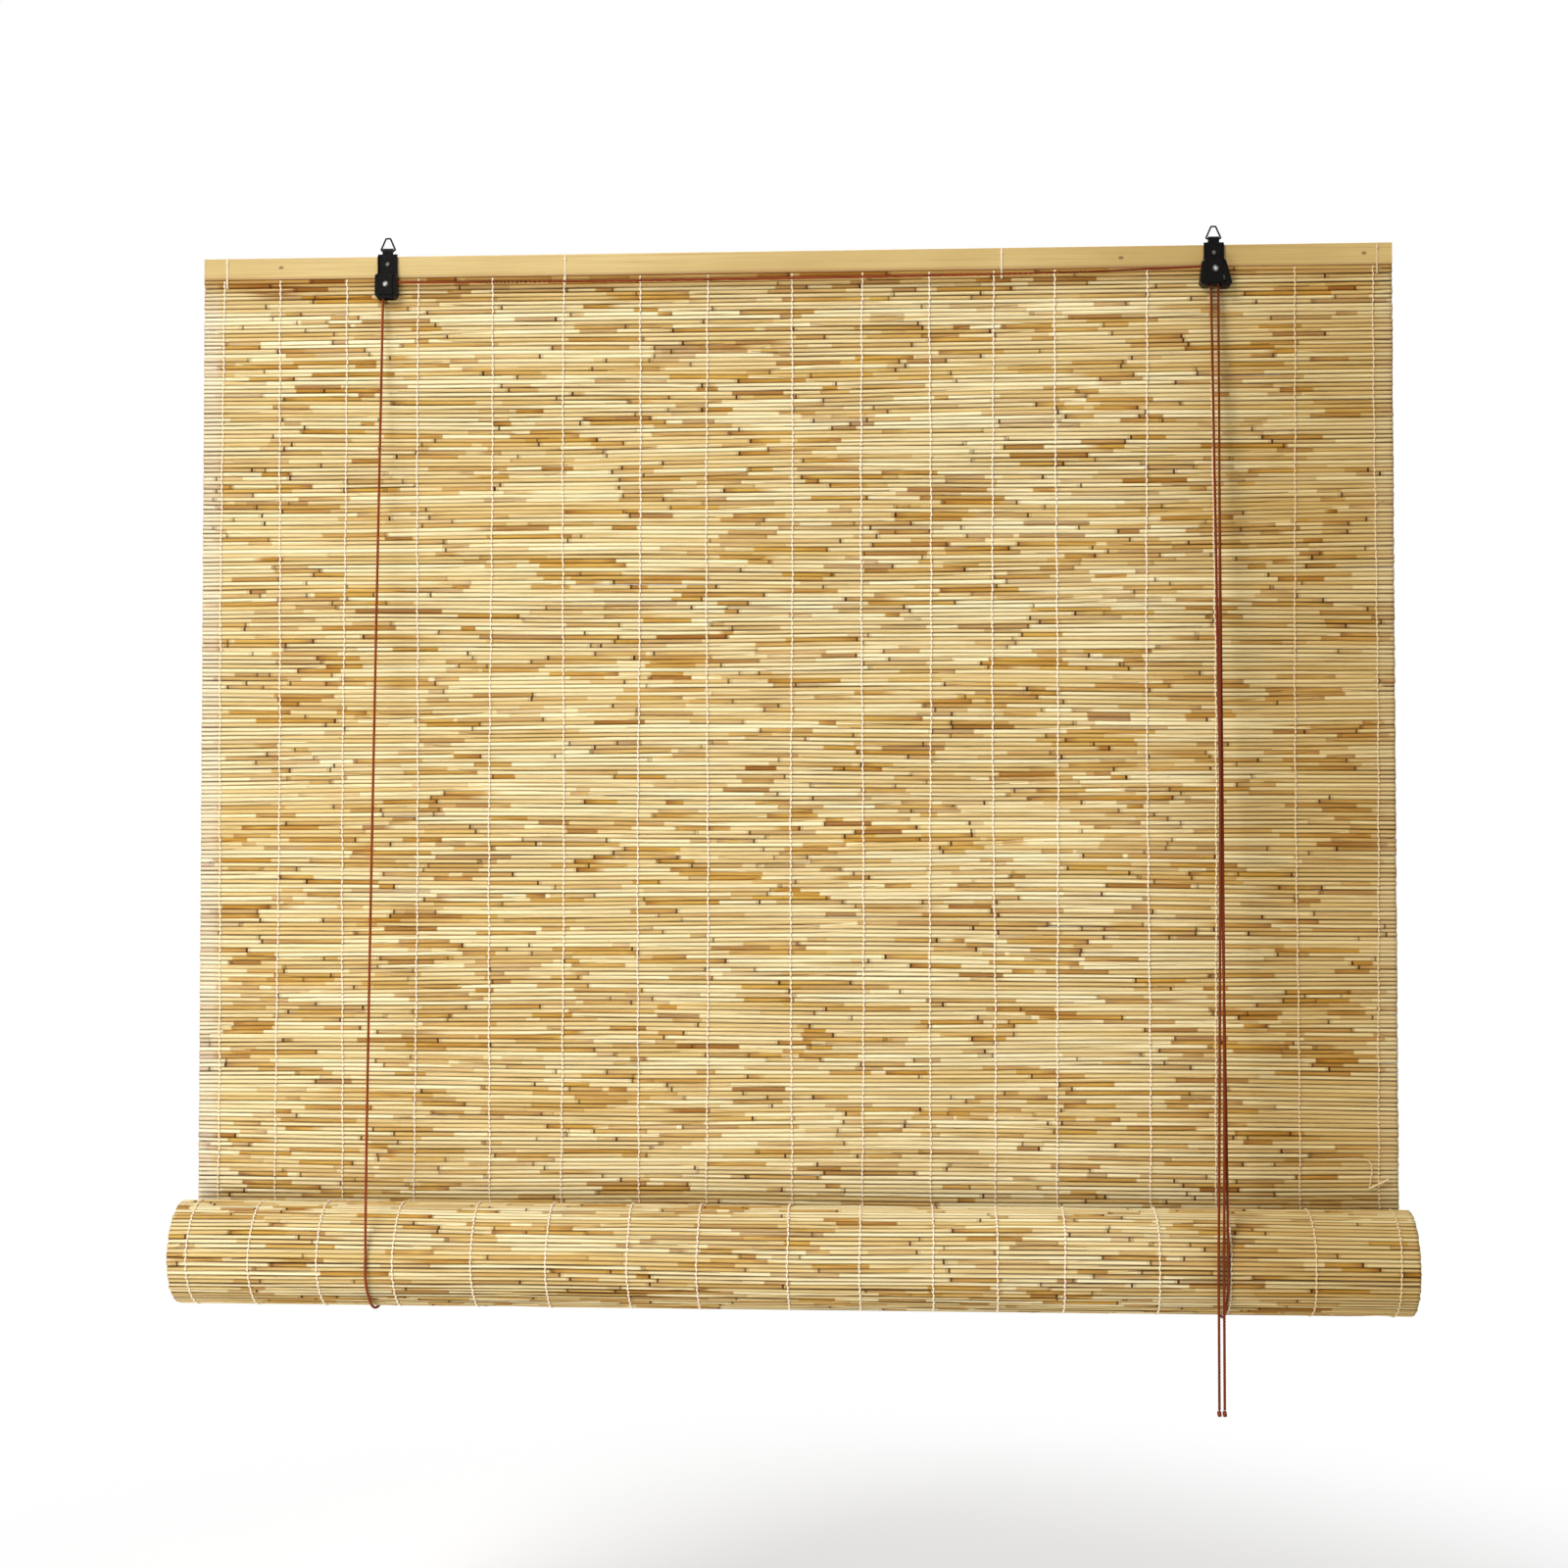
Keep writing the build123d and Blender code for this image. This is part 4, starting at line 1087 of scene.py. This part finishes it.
def pull_cords(material):
    """The two pull cords, from the lock down to their end knots."""
    for name, route in (("a", PULL_A_ROUTE), ("b", PULL_B_ROUTE)):
        line = route_line(route, resolution=256)
        upper = rope(f"pull_cord_{name}_run", line, material)
        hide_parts(f"pull_cord_{name}_upper")
        rising(upper)
        x, y, _ = route[-1]
        tail_line = route_line(((x, y, ROLL_Z), (x, y, PULL_END_Z)), resolution=96)
        tail = rope(f"pull_cord_{name}_tail", tail_line, material)
        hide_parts(f"pull_cord_{name}_lower")
        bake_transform(tail)
        shape = Shape("run", "crest")
        middle = (x, y, END_KNOT_Z)
        knot(shape, middle, END_KNOT_WIDTH, END_KNOT_HEIGHT, END_KNOT_STRAND, crest=KNOT_CREST)
        end = shape.made(f"pull_cord_{name}_end", material)
        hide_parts(f"pull_cord_{name}_knot")
        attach(end, "pull_knots")


# Headrail ties


TIE_PLACES = (-0.576, -0.228, 0.213, 0.585)
TIE_FRONT = -10.45 * MM
TIE_BACK = -0.7 * MM
TIE_TOP = 11.4 * MM
TIE_BOTTOM = RAIL_BOTTOM - 2 * REED_PITCH
TIE_THREAD = 0.42 * MM
TIE_SPREAD = 0.4 * MM
TIE_ROUNDING = 0.8 * MM
TIE_KNOT_PLACE = (-11.2 * MM, 6 * MM)
TIE_KNOT_WIDTH = 2.6 * MM
TIE_KNOT_HEIGHT = 2.4 * MM


def tie_loop(x, skew):
    """One turn of tie thread round the headrail and the first two reeds."""
    corners = (
        (TIE_FRONT, TIE_TOP),
        (TIE_BACK, TIE_TOP),
        (TIE_BACK, TIE_BOTTOM),
        (TIE_FRONT, TIE_BOTTOM),
    )
    line = []
    for index, (y, z) in enumerate(corners):
        centre_y = y + (TIE_ROUNDING if y == TIE_FRONT else -TIE_ROUNDING)
        centre_z = z + (-TIE_ROUNDING if z == TIE_TOP else TIE_ROUNDING)
        start = math.pi - index * math.pi / 2
        for step in range(4):
            angle = start - step * math.pi / 6
            place_y = centre_y + TIE_ROUNDING * math.cos(angle)
            place_z = centre_z + TIE_ROUNDING * math.sin(angle)
            lean = skew * (1 if place_y < (TIE_FRONT + TIE_BACK) / 2 else -1)
            lean *= place_z / TIE_TOP if place_z > 0 else -place_z / TIE_BOTTOM
            line.append(Vector((x + lean, place_y, place_z)))
    return line


def headrail_ties(material):
    """The four lashings that carry the mat, two crossing turns of thread each."""
    for number, x in enumerate(TIE_PLACES, 1):
        shape = Shape("run")
        for offset in (-TIE_SPREAD, TIE_SPREAD):
            add_tube(shape, tie_loop(x + offset, -offset * 0.5), TIE_THREAD, 6, closed=True)
        knot(shape, (x, *TIE_KNOT_PLACE), TIE_KNOT_WIDTH, TIE_KNOT_HEIGHT, TIE_THREAD)
        tie = shape.made(f"tie_thread_{number}", material)
        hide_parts(f"headrail_tie_{number}")
        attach(tie, "headrail_assembly")


# The mat and roll


def squash_with_lift(obj):
    """Carry hanging rows on the headrail's body, with a mesh of their own."""
    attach(obj, "headrail_assembly")
    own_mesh(obj)


def loose_end(shape):
    """The cut end of a mending thread that stands off the mat near its lower right."""
    thin = (
        (0.5285, -0.0120, -0.8981),
        (0.5500, -0.0124, -0.8966),
        (0.5715, -0.0126, -0.8972),
        (0.5745, -0.0126, -0.9090),
        (0.5705, -0.0126, -0.9262),
    )
    stub = ((0.5700, -0.0128, -0.9262), (0.5790, -0.0134, -0.9225), (0.5895, -0.0138, -0.9166))
    add_tube(shape, route_line(thin, resolution=6), radius=0.5 * MM, sides=6)
    add_tube(shape, route_line(stub, resolution=6), radius=1.0 * MM, sides=8)


def mat_and_roll(reeds, thread):
    """The hanging mat, the roll and the stitch threads that hold them together."""
    hanging_rows = [hanging_row(number) for number in range(HANGING_ROWS)]
    upper_rows, squashed_rows = hanging_rows[:UPPER_ROWS], hanging_rows[UPPER_ROWS:]
    outer_rows = rolled_rows(0.0, OUTER_TURNS)

    upper = reed_mat("mat_upper", upper_rows, reeds)
    middle = reed_mat("mat_middle", hanging_rows[UPPER_ROWS:FIRST_LOWER_ROW], reeds)
    lower = reed_mat("mat_lower", hanging_rows[FIRST_LOWER_ROW:], reeds)
    outer = reed_mat("roll_outer_turn", outer_rows, reeds)
    inner_rows = rolled_rows(OUTER_TURNS, ROLL_TURNS)
    inner = reed_mat("roll_inner_turns", inner_rows, reeds, inner=True)
    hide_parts("mat_panel")
    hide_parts("mat_roll")
    stitches_upper = stitches("stitches_upper", upper_rows, 1, True, thread)
    stitches_lower = stitches("stitches_lower", squashed_rows, 1, True, thread, loose_end)
    stitches_roll = stitches("stitches_roll", outer_rows, -1, False, thread)

    for piece in (upper, stitches_upper):
        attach(piece, "headrail_assembly")
    for piece in (middle, lower, stitches_lower):
        squash_with_lift(piece)
    for piece in (outer, inner, stitches_roll):
        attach(piece, "mat_roll")


# CAD parts that keep their shape


def dress_cad_nodes(materials):
    """Give every CAD part that stays its material."""
    finishes = {
        "headrail_bamboo": ("headrail", "bottom_rail"),
        "black_steel": (
            "left_bracket", "right_bracket", "pulley_housing", "lock_housing",
            "left_ring", "right_ring",
        ),
        "bright_steel": ("pulley_axle", "lock_axle"),
        "screw_steel": ("left_screw", "right_screw"),
        "wheel_plastic": ("pulley_wheel", "lock_wheel"),
        "roller_plastic": ("lock_roller",),
    }  # fmt: skip
    for finish, nodes in finishes.items():
        for node in nodes:
            mesh = frame["nodes"][node].data
            mesh.materials.clear()
            mesh.materials.append(materials[finish])


# Stage


FLOOR_Z = -1.5
CAMERA_PLACE = Vector((0.1207, -2.2857, -0.5890))
CAMERA_YAW = math.radians(-3.18)
CAMERA_PITCH = math.radians(1.55)
CAMERA_LENS_MM = 52.19
SENSOR_MM = 36
SCENE_MIDDLE = Vector((0, -0.03, -0.52))
AMBIENT = 0.33
WHITE = (1.0, 1.0, 1.0, 1.0)
FLOOR_HALF = 6.0
FLOOR_FADE = (0.7, 1.5)


def camera():
    """The camera where the photograph was taken from."""
    data = bpy.data.cameras.new("camera")
    data.lens = CAMERA_LENS_MM
    data.sensor_width = SENSOR_MM
    obj = new_object("camera", data)
    level = math.cos(CAMERA_PITCH)
    sideways, ahead = math.sin(CAMERA_YAW), math.cos(CAMERA_YAW)
    forward = Vector((sideways * level, ahead * level, math.sin(CAMERA_PITCH)))
    right = Vector((ahead, -sideways, 0))
    turn = Matrix((right, right.cross(forward), -forward)).transposed().to_4x4()
    obj.matrix_world = Matrix.Translation(CAMERA_PLACE) @ turn
    bpy.context.scene.camera = obj


def soft_light(name, place, size, power, target=SCENE_MIDDLE):
    """A square area light aimed at the blind."""
    data = bpy.data.lights.new(name, "AREA")
    data.size = size
    data.energy = power
    obj = new_object(name, data)
    obj.location = place
    obj.rotation_euler = (target - Vector(place)).to_track_quat("-Z", "Y").to_euler()


def white_for_views(tree):
    """A factor that is 1 for rays that see, mirror or pass through to the backdrop."""
    path = tree.nodes.new("ShaderNodeLightPath")
    total = path.outputs["Is Camera Ray"]
    for name in ("Is Glossy Ray", "Is Transmission Ray"):
        maximum = tree.nodes.new("ShaderNodeMath")
        maximum.operation = "MAXIMUM"
        tree.links.new(total, maximum.inputs[0])
        tree.links.new(path.outputs[name], maximum.inputs[1])
        total = maximum.outputs[0]
    return total


def world():
    """Even pale light all round, and plain white behind the blind."""
    made = bpy.data.worlds.new("world")
    made.use_nodes = True
    tree = made.node_tree
    lit = tree.nodes["Background"]
    lit.inputs["Color"].default_value = WHITE
    lit.inputs["Strength"].default_value = AMBIENT
    seen = tree.nodes.new("ShaderNodeBackground")
    seen.inputs["Color"].default_value = WHITE
    seen.inputs["Strength"].default_value = 1.0
    mix = tree.nodes.new("ShaderNodeMixShader")
    tree.links.new(white_for_views(tree), mix.inputs[0])
    tree.links.new(lit.outputs[0], mix.inputs[1])
    tree.links.new(seen.outputs[0], mix.inputs[2])
    tree.links.new(mix.outputs[0], tree.nodes["World Output"].inputs[0])
    bpy.context.scene.world = made


def floor():
    """A plain white floor that keeps the blind's shadow and fades into the backdrop."""
    mesh = bpy.data.meshes.new("floor")
    corners = [(x * FLOOR_HALF, y * FLOOR_HALF) for x, y in ((-1, -1), (1, -1), (1, 1), (-1, 1))]
    mesh.from_pydata([(x, y, FLOOR_Z) for x, y in corners], [], [(0, 1, 2, 3)])
    surface = Surface("floor", base_color=(0.93, 0.93, 0.93, 1.0), roughness=0.9)
    tree = surface.tree
    flat = surface.stretched(surface.place(), (1.0, 1.0, 0.0))
    away = surface.node("VectorMath", {0: flat}, operation="LENGTH").outputs["Value"]
    far = surface.band(away, *FLOOR_FADE)
    seen = surface.math("MULTIPLY", far, white_for_views(tree))
    white = surface.node("Emission", {"Color": WHITE, "Strength": 1.0})
    mix = surface.node("MixShader", {0: seen, 1: surface.shader.outputs[0], 2: white.outputs[0]})
    tree.links.new(mix.outputs[0], tree.nodes["Material Output"].inputs[0])
    mesh.materials.append(surface.material)
    new_object("floor", mesh)


def lights():
    """A large soft key from the upper left, weak fill and back lights, and one from above."""
    soft_light("key", (-2.0, -3.2, 2.6), 2.0, 158)
    soft_light("fill", (-0.8, -2.0, -1.1), 0.7, 16)
    soft_light("back", (0.6, 2.4, 0.5), 2.0, 24)
    soft_light("top", (0.0, 0.3, 2.2), 2.4, 40, Vector((0.0, 0.3, 0.0)))


def main():
    """Dress the frame and light it."""
    materials = {
        "headrail_bamboo": rail_material(),
        "black_steel": black_paint(),
        "bright_steel": plated_metal("bright_steel", srgb(206, 204, 198), srgb(120, 116, 110)),
        "screw_steel": plated_metal("screw_steel", srgb(128, 124, 118), srgb(44, 42, 40)),
        "wheel_plastic": nylon("wheel_plastic", srgb(226, 222, 208), srgb(208, 202, 186)),
        "roller_plastic": nylon("roller_plastic", srgb(70, 64, 58), srgb(52, 47, 42)),
    }
    reeds, thread, cord = reed_material(), thread_material(), cord_material()
    camera()
    dress_cad_nodes(materials)
    lift_cords(cord)
    rail_cords(cord)
    pull_cords(cord)
    headrail_ties(thread)
    mat_and_roll(reeds, thread)
    lights()
    world()
    floor()
    bpy.context.scene.view_settings.view_transform = "Standard"


main()
